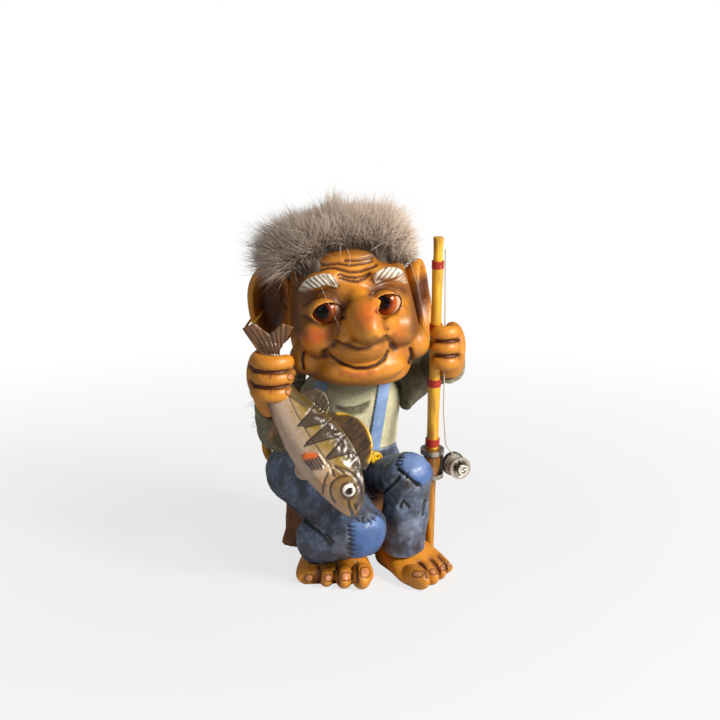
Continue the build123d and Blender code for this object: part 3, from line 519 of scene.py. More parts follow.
for name in ("right_button", "left_button"):
    button = cast_copy(name, grain=0.15, rounds=2)
    points, normals, edges = measure(button)
    proud = relief(points, normals, edges, rounds=20)
    paint = wash(
        ground(points, button_yellow),
        # painted highlight on what stands out, painted shade in the holes and hollows
        (button_highlight, 4 * proud),
        (button_hollow_shade, -6 * proud - 0.2),
    )
    lay_paint(button, paint)
    dress(button, name, "figure", button_enamel)


# Fists
# Two clenched hands cast in resin with wrist pegs in the cuffs: one grips the fish's tail and the other
# the rod. The gaps between the fingers are deep and painted dark as shade, and the nails are carved on.
knuckle_brown = "5a2a10"
right_finger_nails = [((291, 377), 2.9, 3.8), ((289, 392), 2.9, 3.4)]
left_finger_nails = [((436, 379), 2.6, 2.6)]
right_finger_gaps = [[(249, 366), (254, 370.5), (264, 372.8), (276, 373), (289, 371)],
                     [(250, 382), (255, 386), (264, 388.2), (276, 388.2), (288, 385.5)]]
left_finger_gaps = [[(431, 339.5), (437, 341.3), (446, 341.8), (458, 340.3)],
                    [(431, 354), (437, 355.8), (446, 356.8), (458, 355.3)]]
knuckle_nicks = [[(270.6, 374.7), (270.4, 378.5)], [(269.8, 388), (270.8, 392.8)]]
for name, nails, gaps in (("right_fist", right_finger_nails, right_finger_gaps),
                          ("left_fist", left_finger_nails, left_finger_gaps)):
    fist = cast_copy(name, grain=0.35, rounds=3)
    points, normals, paint = carve_digits(fist, nails, gaps, depth=2.4)
    dots = picture(points)
    paint = wash(
        paint,
        (knuckle_brown, 0.8 * strokes(dots, knuckle_nicks, 0.9) * front(normals)),
    )
    lay_paint(fist, paint)
    dress(fist, name, "figure", skin)


# Fish
# A perch held by its tail, cast in one piece with its fins and gripped in the fist. Its back is dark
# silver with carved zigzag bars and painted glints on its lumps, its flank yellow, its belly cream, and its
# fins orange and ochre.
belly_cream, flank_yellow, back_grey, bar_dark = "b9a08a", "8e7428", "453a32", "3e332b"
scale_silver, scale_glint, gill_brown, throat_pink = "a49a96", "e4ded8", "7d5c24", "c09a7c"
fin_brown, fin_pale, sail_dark, sail_tan = "54431e", "94824a", "3a2a1c", "a06a35"
sail_rim, vent_brown, tail_brown, tail_tan = "e8b41e", "8a5a3a", "5c3a1e", "9a6434"
breast_grey, fin_orange, belly_orange, ray_dark = "7a6258", "e06a1c", "dd5f1c", "2a1a10"
carved_dark, eye_ring, eye_white, eye_black = "2b1a10", "3a2414", "f2ece4", "1c1410"
fish_gloss = painted("fish_gloss", roughness=0.3, coat=0.5, speck=1.6, speck_depth=0.12, bump=0.2)
side_line = [(288.3, 397.2), (296.9, 415.1), (302, 424), (309.3, 436.8), (316.4, 447), (324.6, 458.4),
             (330, 466)]
bars = [[(288, 396), (296, 387), (314, 400), (304, 407)],
        [(315.1, 404.9), (297.2, 425.9), (304.2, 427.5), (324.6, 422.1), (334, 414)],
        [(332.9, 418.3), (324.6, 425.9), (305.5, 443.1), (303.6, 446.3), (341.2, 434.8), (345, 428)],
        [(344.4, 436.1), (325.3, 458.4), (327.2, 459.7), (350.2, 452.1), (359.1, 450), (356, 440)]]
bar_lines = [[(315.1, 404.9), (297.2, 425.9)], [(304.2, 427.5), (324.6, 422.1)],
             [(332.9, 418.3), (305.5, 443.1)], [(303.6, 446.3), (341.2, 434.8)],
             [(344.4, 436.1), (325.3, 458.4)], [(327.2, 459.7), (350.2, 452.1)],
             [(359.1, 452.1), (354, 457.2)]]
back_edge = [(296, 384), (314, 398), (333, 414), (346, 430), (358, 447), (366, 466), (366, 490), (360, 508)]
belly_edge = [(276, 400), (280, 440), (290, 462), (302, 478), (320, 494), (340, 511), (350, 518)]
gill_lines = [[(346.1, 476.1), (338.5, 477.4), (332.1, 483.2), (329.5, 488.3), (329.9, 493.4),
               (332.1, 498.5), (334.6, 502.3)],
              [(327.6, 473.6), (324.4, 480), (322.8, 487), (322.2, 494)],
              [(334.6, 465.9), (344.8, 470), (353.8, 474.2), (360.2, 483.2), (362.1, 491.5),
               (362.7, 499.7)], [(334.6, 467.2), (342.9, 472.3)], [(332.7, 470.4), (333.4, 476.1)]]
fish_mouth = [[(348, 501), (348.7, 507.4), (351.9, 513.1)], [(355, 505), (356, 509.5)]]
gill_column, gill_row = 340, 466
tail_root_row = 357
fish_eye = (348.7, 490.2)
fish_pupil = (349.6, 491.3)
breast_fin = [(301.7, 456), (306, 452.7), (318.3, 453), (324.5, 463), (323, 470), (313, 470), (304, 463)]
breast_fin_rays = [[(306 + 3 * i, 460.5 - 0.8 * i), (312 + 3 * i, 469.5 - 0.8 * i)] for i in range(5)]
orange_spot = ((310, 456), 10, 4.6)
belly_fin = [(283, 459), (290, 460), (294, 471), (292, 475), (286, 469)]
back_fin = [(330, 412), (346, 410), (360, 415), (371, 430), (376, 446), (373, 463), (362, 461),
            (352, 443), (342, 429), (332, 419)]
back_fin_rim = [(338, 412.5), (348, 412), (359, 416), (368, 427), (373, 441), (373, 454), (369, 461)]
back_fin_rays = [[(345 + 3.4 * i, 424 + 5.2 * i), (352 + 3.6 * i, 418 + 5 * i)] for i in range(7)]
soft_fin_rim = [(318, 391), (324, 391.5), (328.5, 397), (329, 405), (327, 411)]
soft_fin_rays = [[(314 + 3 * i, 404 + 3 * i), (319 + 3 * i, 393 + 4 * i)] for i in range(4)]
vent_fin = [(262, 412), (278, 400), (281, 432), (264, 440)]
tail_rays = [[(265 + 2.6 * i, 354), (244 + 6 * i, 324 if i > 3 else 330)] for i in range(8)]
fish = cast_copy("fish", grain=0.38, rounds=5)
points, normals, edges = measure(fish)
middle = points.mean(axis=0)
_, directions = np.linalg.eigh(np.cov((points - middle).T))
flank = directions[:, 0] * (-1 if directions[1, 0] > 0 else 1)
out = (points - middle) @ flank
near_side = points + flank * (np.abs(out) - out)[:, None]
dots = picture(near_side)
across, down = dots
flat = np.clip(2 * np.abs(normals @ flank), 0, 1)
thick = np.clip((np.abs(out) - 0.9) / 1.5, 0, 1)
to_back = line_distance(dots, back_edge)
to_belly = line_distance(dots, belly_edge)
height = to_belly / (to_back + to_belly)
scales = mottle(points, size=3)
carved = np.maximum(strokes(dots, bar_lines, 0.9), 0.7 * stroke(dots, side_line, 0.8))
carved = np.maximum(carved, strokes(dots, gill_lines, 1.1))
carved = np.maximum(carved, strokes(dots, fish_mouth, 1.5)) * flat
rays = strokes(dots, breast_fin_rays + back_fin_rays + soft_fin_rays + tail_rays, 0.9)
eye_gap = np.hypot(across - fish_eye[0], down - fish_eye[1])
pupil_gap = np.hypot(across - fish_pupil[0], down - fish_pupil[1])
lumps = np.clip((height - 0.62) * 4, 0, 1) * thick
swell = 1.6 * (scales - 0.5) * lumps - 0.6 * carved - 0.35 * rays
swell = swell + 0.9 * np.exp(-(eye_gap / 6.5) ** 4) * flat
swell = swell + 0.5 * area(dots, breast_fin, 1.5) * flat * (out > 0)
points = points + normals * swell[:, None]
put_points(fish, points)
in_bar = np.max([area(dots, bar, 2) for bar in bars], axis=0)
head_area = np.clip((down - gill_row + 0.35 * (across - gill_column)) / 8, 0, 1) * thick
fins = 1 - thick
tail_fin = np.clip((tail_root_row - down) / 3, 0, 1)
in_sail = area(dots, back_fin, 2) * fins
paint = wash(
    ground(points, belly_cream),
    (flank_yellow, 2.8 * (height - 0.28) + 0.8 * (scales - 0.5)),
    (back_grey, 4.5 * (height - 0.6)),
    (bar_dark, 0.9 * in_bar * thick),
    (scale_silver, 2.2 * (scales - 0.55) * lumps),
    # painted glints on the lumps of the back
    (scale_glint, 3.2 * (scales - 0.68) * lumps),
    (gill_brown, 0.8 * head_area * np.clip((0.78 - height) * 6, 0, 1)),
    (throat_pink, 0.8 * head_area * np.clip((0.3 - height) * 6, 0, 1)),
    (fin_brown, fins),
    (fin_pale, 0.9 * stroke(dots, soft_fin_rim, 1.8) * fins),
    (sail_dark, 0.9 * in_sail),
    (sail_tan, 0.5 * in_sail * (scales - 0.3)),
    (sail_rim, 1.3 * stroke(dots, back_fin_rim, 2.2) * fins),
    (vent_brown, 0.8 * area(dots, vent_fin, 3) * fins),
    (tail_brown, 0.95 * tail_fin),
    (tail_tan, 1.2 * tail_fin * (mottle(points, size=4) - 0.45)),
    (breast_grey, 0.95 * area(dots, breast_fin, 1.5) * flat),
    (fin_orange, 1.6 * spot(dots, *orange_spot) * flat),
    (belly_orange, area(dots, belly_fin, 2)),
    (ray_dark, 0.9 * rays),
    (carved_dark, 0.95 * carved),
    (eye_ring, np.exp(-((eye_gap - 7.6) / 1.4) ** 2) * flat * 0.9),
    (eye_white, np.clip((6.4 - eye_gap) * 1.2, 0, 1) * flat),
    (eye_black, np.clip((3.7 - pupil_gap) * 1.2, 0, 1) * flat),
)
lay_paint(fish, paint)
dress(fish, "fish", "figure", fish_gloss)


# Neck peg
# A turned wooden peg, glued in the shirt, that the head turns on.
# Only its middle could show, in the dark under the chin.
peg_brown = "8a6238"
peg_wood = painted("peg_wood", roughness=0.55, coat=0, speck=1.5, speck_depth=0.25, bump=0.1,
                   stretch=(1, 1, 0.2))
neck_peg = cast_copy("neck_peg", grain=0.5, rounds=2)
points, _, _ = measure(neck_peg)
lay_paint(neck_peg, ground(points, peg_brown))
dress(neck_peg, "neck_peg", "figure", peg_wood)


# Head and ears
# A big resin head that turns on the neck peg: bulbous nose, round cheeks, a wide smile, a wrinkled
# forehead and cream brows with carved hairs. The ears are separate castings pegged into its sides. Painted
# shade darkens the eye hollows, the sides of the face and nose, the hairline, the underside, the folds and
# the carved wrinkles.
blush_red, hollow_shade_brown, fold_shade_brown, crease_shade_brown = "c9501a", "4e260d", "4a220c", "5a2a0c"
lip_red, brow_cream, brow_dark, mouth_dark_and_slit_shade = "b0402a", "e9e0cf", "3a2016", "3a160a"
ear_bowl_shade, ear_bowl_deep_shade = "7a3a12", "2e1408"
forehead_wrinkles = [[(316.4, 264.9), (327.6, 264.4), (336.8, 263.3), (349.6, 265.4), (362.3, 263.3),
                      (371.5, 260.3)],
                     [(316.4, 270.5), (326.6, 267.4), (334.3, 267.4), (341.9, 270), (349.6, 272.5),
                      (359.8, 272), (370, 267.4), (375.6, 264.9)],
                     [(339.4, 274.6), (347, 277.6), (354.7, 278.1), (362.3, 277.1), (369.5, 274.1)],
                     [(340.9, 278.7), (349.6, 281.2), (357.2, 281.7), (364.9, 278.7), (369.5, 274.6)],
                     [(344.5, 260.3), (357.2, 260.3), (371.5, 257.3)]]
right_brow = [(299.1, 290.4), (301.6, 284.8), (306.2, 280.2), (313.9, 276.6), (323, 274.1),
              (330.7, 274.6), (336.3, 279.2), (338.3, 284.8), (336.8, 287.3), (331.7, 285.8),
              (324.6, 284.8), (317.9, 286.8), (311.3, 289.4), (305.2, 291.9)]
left_brow = [(373.9, 275.7), (376.4, 272.7), (382.5, 269.1), (389.2, 267.6), (396.8, 268.1), (401.9, 271.1),
             (406, 275.2), (408, 279.3), (408, 283.9), (403.4, 282.9), (398.3, 280.3), (391.7, 279.8),
             (384.6, 279.8), (379, 281.8), (375.4, 283.4), (373.9, 279.8)]
brow_hairs = [[(302, 290), (309, 291.5)], [(303, 286.5), (311, 288.5)], [(306.7, 282.2), (315.4, 288.3)],
              [(310, 280.5), (317.5, 285.5)], [(313.9, 278.6), (322.5, 285.3)],
              [(318.4, 276.6), (326.6, 284.3)], [(322.5, 276.1), (331.2, 283.8)],
              [(326.1, 275.6), (333.8, 284.3)], [(331.7, 275.6), (338.3, 285.8)],
              [(385.6, 268.6), (379, 275.7), (376.4, 280.3)],
              [(390.7, 269.1), (384.6, 275.2), (380.5, 279.8)],
              [(395.8, 268.6), (390.7, 274.7), (386.6, 278.8)], [(398, 272.5), (393.8, 278.3)],
              [(401.4, 273.7), (396.8, 278.8)], [(405, 275.2), (399.4, 280.3)],
              [(407.5, 279.8), (400.9, 281.3)]]
smile = [(331, 356.7), (343.6, 364.4), (355, 368.2), (366.6, 368.2), (376, 365.4), (383.8, 359.6),
         (388.6, 352)]
lower_lip = [(344.2, 371.5), (354, 374), (364, 374), (374, 371)]
muzzle_place = ((358, 356), 32, 13)
mouth_corners = [((325, 354), 7, 6), ((393.5, 347.5), 6, 6)]
cheek_folds = [[(337, 343), (330, 348), (325, 354)], [(386, 338), (391, 342), (393.5, 347)]]
jowl_slits = [[(303, 353), (301.4, 360.4), (303.1, 368.4)], [(410.3, 349.7), (412, 356.8), (410.3, 363)]]
lid_creases = [[(304, 306), (311, 299.5), (321, 296), (331, 297.5), (339, 303)],
               [(370, 295), (378, 289.5), (386, 288), (394, 290), (400, 296)],
               [(305, 316), (313, 322), (323, 324), (334, 320)],
               [(376, 311), (386, 315.5), (395, 313), (401, 307)]]
nose_underside = [(334, 341), (341, 345), (349, 346), (357, 348.5), (367, 348.5), (375, 345), (381, 341),
                  (387, 337)]
nose_sides = [[(348, 301), (342, 311), (338.5, 323), (336, 336)], [(379, 309), (384, 318), (387, 329)]]
face_hollow_shadows = [[(302, 293), (312, 290), (325, 287.5), (336, 289), (342, 296), (343, 310), (339, 316),
                (337, 305), (328, 298), (316, 301), (306, 308), (301, 305)],
               [(373, 285), (380, 281.5), (392, 281), (404, 285), (409, 291), (405, 297), (398, 292),
                (388, 290), (378, 293), (371, 300), (367, 296), (368, 288)],
               [(302, 316), (310, 320), (322, 322), (334, 319), (332, 325), (320, 327), (308, 324)],
               [(337, 316), (334, 334), (333, 345), (329, 340), (331, 326)]]
face_edges = [[(300, 272), (296, 290), (295, 310), (297, 330)],
              [(411, 272), (415, 290), (416, 310), (415, 330)]]
hairline = [(305, 270), (313, 264), (321.5, 258), (329, 253), (339, 250.6), (355, 248.6), (367, 251),
            (380.5, 257), (396, 267.6), (404, 273)]
blushes = [((368, 315), 18, 20, 0.6), ((316, 336), 20, 13, 0.7), ((400, 334), 11, 13, 0.35)]
eye_openings = [((326, 311), 22, 16), ((386, 303), 21, 16)]
nose_pulls = [((366, 332), 20, 16, 0.5, -4, 3), ((369, 326), 13, 16, 1, 0, 2.5)]
nostril_pulls = [((340, 338), 8, 8, 0, -1.5, 2), ((383, 333), 8, 8, 0, -1.5, 2)]
face_depth = -15
chin_row = 330


def pull(points, centre, half_width, half_height, right, rise, forward):
    """Draws a soft patch of the face along, in millimetres: to the right, up and towards the viewer."""
    across, down = picture(points)
    u = (across - centre[0]) / half_width
    v = (down - centre[1]) / half_height
    weight = np.exp(-u ** 2 - v ** 2) * np.clip((face_depth - points[:, 1]) / 12, 0, 1)
    return points + weight[:, None] * (np.array([right, 0, 0]) + rise * look_up - forward * look_along)


head = cast_copy("head", grain=0.58, rounds=8)
points, normals, edges = measure(head)
dots = picture(points)
seen = front(normals)
spared = np.max([spot(dots, *opening) for opening in eye_openings], axis=0) * seen
points = points + (settle(points, edges, rounds=40) - points) * np.clip(1 - 2 * spared, 0, 1)[:, None]
for place in nose_pulls + nostril_pulls:
    points = pull(points, *place)
put_points(head, points)
points, normals, edges = measure(head)
dots = picture(points)
seen = front(normals)
wrinkles = strokes(dots, forehead_wrinkles, 1.6) * seen
square_on = np.clip(-2.5 * (normals @ look_along) - 0.5, 0, 1)
brows = np.maximum(area(dots, right_brow, 2), area(dots, left_brow, 2)) * square_on
hairs = strokes(dots, brow_hairs, 0.9) * square_on
mouth = stroke(dots, smile, 1.6) * seen
corners = np.max([spot(dots, *corner) for corner in mouth_corners], axis=0) * seen
cheeks = strokes(dots, cheek_folds, 3) * seen
slits = strokes(dots, jowl_slits, 2) * seen
lids = strokes(dots, lid_creases, 1.5) * seen
under_nose = stroke(dots, nose_underside, 1.8) * seen
beside_nose = strokes(dots, nose_sides, 3) * seen
muzzle = spot(dots, *muzzle_place) * seen
lip = stroke(dots, lower_lip, 4) * seen
carve = 0.9 * wrinkles + 0.6 * hairs + 1.6 * mouth + 1.0 * corners + 0.9 * cheeks + 1.3 * slits + 0.5 * lids
raised = 0.9 * brows + 1.1 * muzzle + 0.7 * lip
points = points + normals * (raised - carve - 0.9 * under_nose - 0.8 * beside_nose)[:, None]
put_points(head, points)
paint = skin_coat(points, normals, edges, depth=1.1)
hollow_shadows = np.max([area(dots, hollow, 7) for hollow in face_hollow_shadows], axis=0) * seen
edge_shade = strokes(dots, face_edges, 9) * seen
beneath = np.clip(-1.3 * normals[:, 2] - 0.35, 0, 1)
for centre, half_width, half_height, weight in blushes:
    paint = wash(paint, (blush_red, weight * spot(dots, centre, half_width, half_height) * seen))
paint = wash(
    paint,
    # painted shade in the eye hollows and beside the nose
    (hollow_shade_brown, 0.85 * hollow_shadows),
    # painted shade along the face's sides, and painted shadow under the hairline
    (hollow_shade_brown, 0.85 * np.maximum(edge_shade, 0.8 * stroke(dots, hairline, 8) * seen)),
    # painted shade on the downward faces below the chin row
    (fold_shade_brown, 0.8 * beneath * (dots[1] > chin_row)),
    # painted shade in the mouth corners, the cheek folds and under the nose
    (fold_shade_brown, 0.75 * np.maximum.reduce([0.8 * corners, 0.6 * cheeks, under_nose])),
    # painted shade along the nose's sides
    (crease_shade_brown, 0.6 * beside_nose),
    (lip_red, 0.55 * stroke(dots, lower_lip, 2.4) * seen),
    (brow_cream, 0.95 * brows),
    (brow_dark, 0.9 * hairs),
    # painted shade in the carved wrinkles and lid creases
    (crease_shade_brown, 0.7 * np.maximum(wrinkles, 0.9 * lids)),
    # the dark mouth line, and painted shade in the jowl slits
    (mouth_dark_and_slit_shade, 0.9 * np.maximum(mouth, 0.9 * slits)),
)
lay_paint(head, paint)
dress(head, "head", "head", skin)
ear_bowl_shadows = [[(258, 290), (264, 280), (274, 276), (283, 281), (287, 293), (287, 310), (283, 325),
                (275, 333), (266, 333), (260, 322), (257, 306)],
               [(413, 283), (420, 277), (428, 275), (431, 282), (430, 296), (426, 310), (420, 320),
                (414, 322), (411, 305)]]
for name, hollow in zip(("right_ear", "left_ear"), ear_bowl_shadows):
    ear = cast_copy(name, grain=0.45, rounds=10)
    points, normals, edges = measure(ear)
    dots = picture(points)
    paint = skin_coat(points, normals, edges, depth=0.6)
    shade = area(dots, hollow, 10) * front(normals)
    # painted shade in the ear's bowl, deepened in soft blotches
    paint = wash(
        paint,
        (ear_bowl_shade, 0.9 * shade),
        (ear_bowl_deep_shade, 0.8 * shade * (0.5 + 0.5 * mottle(points, size=7))),
    )
    lay_paint(ear, paint)
    dress(ear, name, "head", skin)


# Eyes
# Two glossy balls set in sockets behind the lids.
# Black pupils, amber irises and warm whites are painted on them under a clear varnish, with a painted
# shadow of the upper lid across their tops.
ball_white, iris_amber, iris_dark, pupil_black = "cfaa94", "a04c1c", "5a220a", "070505"
lid_shade = "1a0c06"
eye_glass = painted("eye_glass", roughness=0.06, coat=0.45, speck=2, speck_depth=0.05, bump=0)
set_inputs(eye_glass.node_tree.nodes["Principled BSDF"], {"Specular IOR Level": 0, "Coat Roughness": 0.02})
amber_radius, iris_radius, pupil_radius = 16, 11, 7.4
right_pupil, left_pupil = (322, 312), (383, 302.5)
for name, pupil in (("right_eye", right_pupil), ("left_eye", left_pupil)):
    ball = cast_copy(name, grain=0.38, rounds=4)
    points, normals, _ = measure(ball)
    across, down = picture(points)
    seen = front(normals)
    gap = np.hypot(across - pupil[0], down - pupil[1])
    paint = wash(
        ground(points, ball_white),
        (iris_amber, np.clip((amber_radius - gap) / 3, 0, 1) * seen),
        (iris_dark, np.clip((iris_radius - gap) / 2.5, 0, 1) * seen),
        (pupil_black, np.clip((pupil_radius - gap) / 0.8, 0, 1) * seen),
        # painted shadow of the upper lid
        (lid_shade, np.clip((pupil[1] - 5 - down) / 4, 0, 0.8) * seen),
    )
    lay_paint(ball, paint)
    dress(ball, name, "head", eye_glass)


# Fur wig
# A strip of long-haired fur glued round the skull, brushed up and outwards. Soft short hair makes its
# mass, and a few long pale guard hairs stand out of it.
cap_brown = "4a3a30"
fur = painted("fur", roughness=0.55, coat=0, speck=1, speck_depth=0.2, bump=0)
hair_seed = 7
luck = np.random.default_rng(hair_seed)
noise.seed_set(hair_seed)
fur_shades, edge_shades, tuft_shades = ("44342a", "dcc9ba"), ("44342a", "b09c8c"), ("6a5a50", "e2d6cc")
guard_shades, wisp_shades, loose_shades = ("a89888", "f4ece6"), ("7a685c", "e6d8cc"), ("d8ccc2", "f4ece6")
hem_height = 24


def grow(name, body, roots, ways, lengths, bends, shades, rings, thickness=0.12):
    """Many thin tapering hairs as one piece: each a three-sided tube that bends and ends in a point."""
    count = len(roots)
    steps = np.linspace(0, 1, rings + 1)
    along = ways * lengths[:, None]
    far = steps[None, :, None]
    lines = roots[:, None] + along[:, None] * far + bends[:, None] * far ** 2
    side = np.cross(ways, luck.normal(size=ways.shape))
    side /= np.linalg.norm(side, axis=1)[:, None]
    other = np.cross(ways, side)
    turns = 2 * math.pi * np.arange(3) / 3
    ring = side[:, None] * np.cos(turns)[None, :, None] + other[:, None] * np.sin(turns)[None, :, None]
    taper = thickness * (1 - 0.75 * steps[:-1])
    tubes = lines[:, :-1, None] + ring[:, None] * taper[None, :, None, None]
    verts = np.concatenate([tubes.reshape(count, -1, 3), lines[:, -1:, :]], axis=1)
    size = verts.shape[1]
    faces = []
    for i in range(count):
        first = i * size
        for step in range(rings - 1):
            low = first + 3 * step
            for j in range(3):
                k = (j + 1) % 3
                faces.append((low + j, low + k, low + 3 + k, low + 3 + j))
        low = first + 3 * (rings - 1)
        for j in range(3):
            faces.append((low + j, low + (j + 1) % 3, first + size - 1))
    mesh = bpy.data.meshes.new(name)
    mesh.from_pydata((verts.reshape(-1, 3) * millimetre).tolist(), [], faces)
    piece = bpy.data.objects.new(name, mesh)
    bpy.context.scene.collection.objects.link(piece)
    fade = np.concatenate([np.repeat(steps[:-1], 3), [1.0]])
    mix = np.clip(fade[None, :] * 1.1 + luck.normal(0, 0.2, (count, 1)), 0, 1)
    paint = colour(shades[0]) * (1 - mix[..., None]) + colour(shades[1]) * mix[..., None]
    lay_paint(piece, paint.reshape(-1, 3))
    mesh.shade_smooth()
    mesh.materials.append(fur)
    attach(piece, body)


def curls(points, size):
    """A smooth random direction at each point, so that neighbouring hairs bend the same way."""
    return np.array([noise.noise_vector(Vector(point) / size) for point in points.tolist()])


def unit(ways):
    """Directions at a length of one."""
    return ways / np.linalg.norm(ways, axis=1)[:, None]


wig = cast_copy("wig", grain=1.4, rounds=1)
tips, normals, edges = measure(wig)
head_skin = BVHTree.FromObject(head, bpy.context.evaluated_depsgraph_get())
hair_floor = tips[:, 2].min()
tips[:, 2] += 10 * np.clip((hair_floor + hem_height - tips[:, 2]) / hem_height, 0, 1)
temple_line = [(240, 276), (262, 268), (280, 270), (296, 276)]
below_hairline = temple_line + hairline + [(425, 270), (455, 262), (455, 420), (240, 420)]
tips[:, 2] += 9 * area(picture(tips), below_hairline, 8) * (tips[:, 1] < 5)
scalp = np.array([head_skin.find_nearest(Vector(tip * millimetre))[0] for tip in tips]) / millimetre
pile = np.linalg.norm(tips - scalp, axis=1)
bare = area(picture(scalp), below_hairline, 4) * (scalp[:, 1] < 0)
cap_share, cap_sink = 0.3, 0.3
cap = settle(scalp + (cap_share * (1 - bare) - cap_sink * bare)[:, None] * (tips - scalp), edges, rounds=4)
put_points(wig, cap)
lay_paint(wig, ground(tips, cap_brown))
dress(wig, "wig", "head", fur)
up = np.array([0, 0, 1.0])
dots = picture(tips)
across, down = dots
low = np.clip((hair_floor + hem_height - tips[:, 2]) / 14, 0, 1)
fringe = np.maximum(stroke(dots, hairline, 16) * (tips[:, 1] < 0), 0.8 * low)
chances = np.clip(pile - 1.5, 0, 6) * (bare < 0.3)
short_from_side, short_from_front = 22, 4
rod_side = np.clip((tips[:, 0] - short_from_side) / 8, 0, 1)
rod_side = rod_side * np.clip((short_from_front - tips[:, 1]) / 6, 0, 1)
fur_batches = 6
batch_hairs = 6500
for batch in range(fur_batches):
    picked = luck.choice(len(tips), batch_hairs, p=chances / chances.sum())
    reach = pile[picked][:, None]
    roots = scalp[picked] + 0.25 * (tips[picked] - scalp[picked]) + luck.normal(0, 0.6, (batch_hairs, 3))
    stray = 0.3 * curls(roots, size=9) + luck.normal(0, 0.26, roots.shape)
    ways = unit(tips[picked] - roots + reach * (stray + 1.1 * fringe[picked][:, None] * up))
    lengths = reach[:, 0] * luck.uniform(0.6, 1.1, batch_hairs) + luck.exponential(1.0, batch_hairs)
    lengths = lengths * (1 + 0.8 * (mottle(roots, size=5) - 0.5)) * (1 - 0.35 * fringe[picked])
    by_rod = rod_side[picked]
    lengths = lengths * (1 - 0.4 * by_rod)
    bends = (5 * curls(roots, size=5) + luck.normal(0, 1.3, roots.shape)) * (1 - 0.8 * by_rod)[:, None]
    grow(f"wig_fur_{batch}", "head", roots, ways, lengths, bends, fur_shades, rings=3)
edge_hairs = 3500
edge_chances = (bare < 0.5) * (scalp[:, 1] < 0)
edge_chances = edge_chances * strokes(picture(scalp), [hairline, temple_line], 7)
picked = luck.choice(len(tips), edge_hairs, p=edge_chances / edge_chances.sum())
roots = cap[picked] + luck.normal(0, 0.3, (edge_hairs, 3))
ways = unit(0.8 * up + 0.7 * unit(tips[picked] - scalp[picked]) + luck.normal(0, 0.3, roots.shape))
bends = 2 * curls(roots, size=5) + luck.normal(0, 0.8, roots.shape)
lengths = luck.uniform(3, 8, edge_hairs)
grow("wig_hairline", "head", roots, ways, lengths, bends, edge_shades, rings=3)
tuft_hairs = 260
tuft_column, tuft_row, tuft_radius = 328, 208, 7
from_tuft = np.hypot(across - tuft_column, down - tuft_row)
tuft_roots = np.flatnonzero((from_tuft < tuft_radius) & (normals[:, 2] > 0.3))
picked = tuft_roots[luck.integers(len(tuft_roots), size=tuft_hairs)]
roots = tips[picked] - 3 * up
ways = unit(up + np.array([0.25, 0, 0]) + luck.normal(0, 0.16, roots.shape))
bends = luck.normal(0, 1.2, roots.shape)
lengths = luck.uniform(6, 15, tuft_hairs)
grow("wig_tuft", "head", roots, ways, lengths, bends, tuft_shades, rings=5)
guard_hairs = 170
guard_chances = chances * (1 - rod_side)
picked = luck.choice(len(tips), guard_hairs, p=guard_chances / guard_chances.sum())
roots = scalp[picked] + 0.5 * (tips[picked] - scalp[picked])
ways = unit(unit(tips[picked] - scalp[picked]) + luck.normal(0, 0.45, roots.shape))
bends = 7 * curls(roots, size=10) + luck.normal(0, 4, roots.shape) - 3 * up
lengths = luck.uniform(8, 17, guard_hairs)
grow("wig_guard_hairs", "head", roots, ways, lengths, bends, guard_shades, rings=8, thickness=0.18)
wisp_hairs = 320
wisps_from_side, wisps_from_front = 18, 3
wisp_roots = (tips[:, 0] > wisps_from_side) & (tips[:, 1] > wisps_from_front) & (chances > 0)
wisp_roots = np.flatnonzero(wisp_roots)
picked = wisp_roots[luck.integers(len(wisp_roots), size=wisp_hairs)]
roots = scalp[picked] + 0.6 * (tips[picked] - scalp[picked])
ways = unit(np.array([1, 0, 0.1]) + luck.normal(0, 0.28, roots.shape))
bends = 4 * curls(roots, size=7) + luck.normal(0, 1.5, roots.shape)
lengths = luck.uniform(5, 15, wisp_hairs)
grow("wig_wisps", "head", roots, ways, lengths, bends, wisp_shades, rings=6, thickness=0.13)
beside_face = -35


def before_face(dot):
    """The point a millimetre before the head at a place in the picture, or beside it at the same depth."""
    u, v = dot
    scale = picture_side * camera_lens / camera_sensor
    side_step = np.array([1, 0, 0]) * (u - picture_side / 2) / scale
    ray = Vector(look_along + side_step - look_up * (v - picture_side / 2) / scale).normalized()
    hit = head_skin.ray_cast(Vector(camera_place * millimetre), ray)[0]
    start = Vector(camera_place)
    if hit is None:
        return np.array(start + ray * (beside_face - start.y) / ray.y)
    return np.array(hit / millimetre - ray)


loose_hairs = [[(309, 259), (321.6, 288), (342.6, 334)], [(381, 242), (392, 256), (398, 270)],
               [(405, 250), (416, 280), (422, 313)], [(300, 262), (304, 270), (305, 279)],
               [(345, 246), (350, 258), (348, 268)], [(372, 246), (376, 253), (383, 259)]]
bent = np.array([[before_face(dot) for dot in line] for line in loose_hairs])
roots = bent[:, 0]
bends = 2 * (bent[:, 2] - 2 * bent[:, 1] + bent[:, 0])
ways = bent[:, 2] - bent[:, 0] - bends
lengths = np.linalg.norm(ways, axis=1)
grow("wig_loose_hairs", "head", roots, unit(ways), lengths, bends, loose_shades, rings=10, thickness=0.11)


# Ear ring
# A hoop of gilt brass wire, bent round and closed through the rim of the right ear.
# It rides with the head. The finish of bare metal is also the reel's.
def metal(name, code, roughness, metallic=1.0):
    """A bare metal or plain finish."""
    material, shader, _, _ = new_finish(name)
    set_inputs(shader, {"Base Color": (*colour(code), 1), "Metallic": metallic, "Roughness": roughness})
    return material


def smooth_copy(node, body, material):
    """A merged copy of a small hard piece, with round faces shaded smooth and edges kept."""
    piece = merged_copy(node, "_piece")
    bpy.ops.object.shade_smooth_by_angle(angle=math.radians(35))
    dress(piece, node, body, material)


gilt = metal("gilt", code="d9a63a", roughness=0.22)
smooth_copy("ear_ring", "head", gilt)


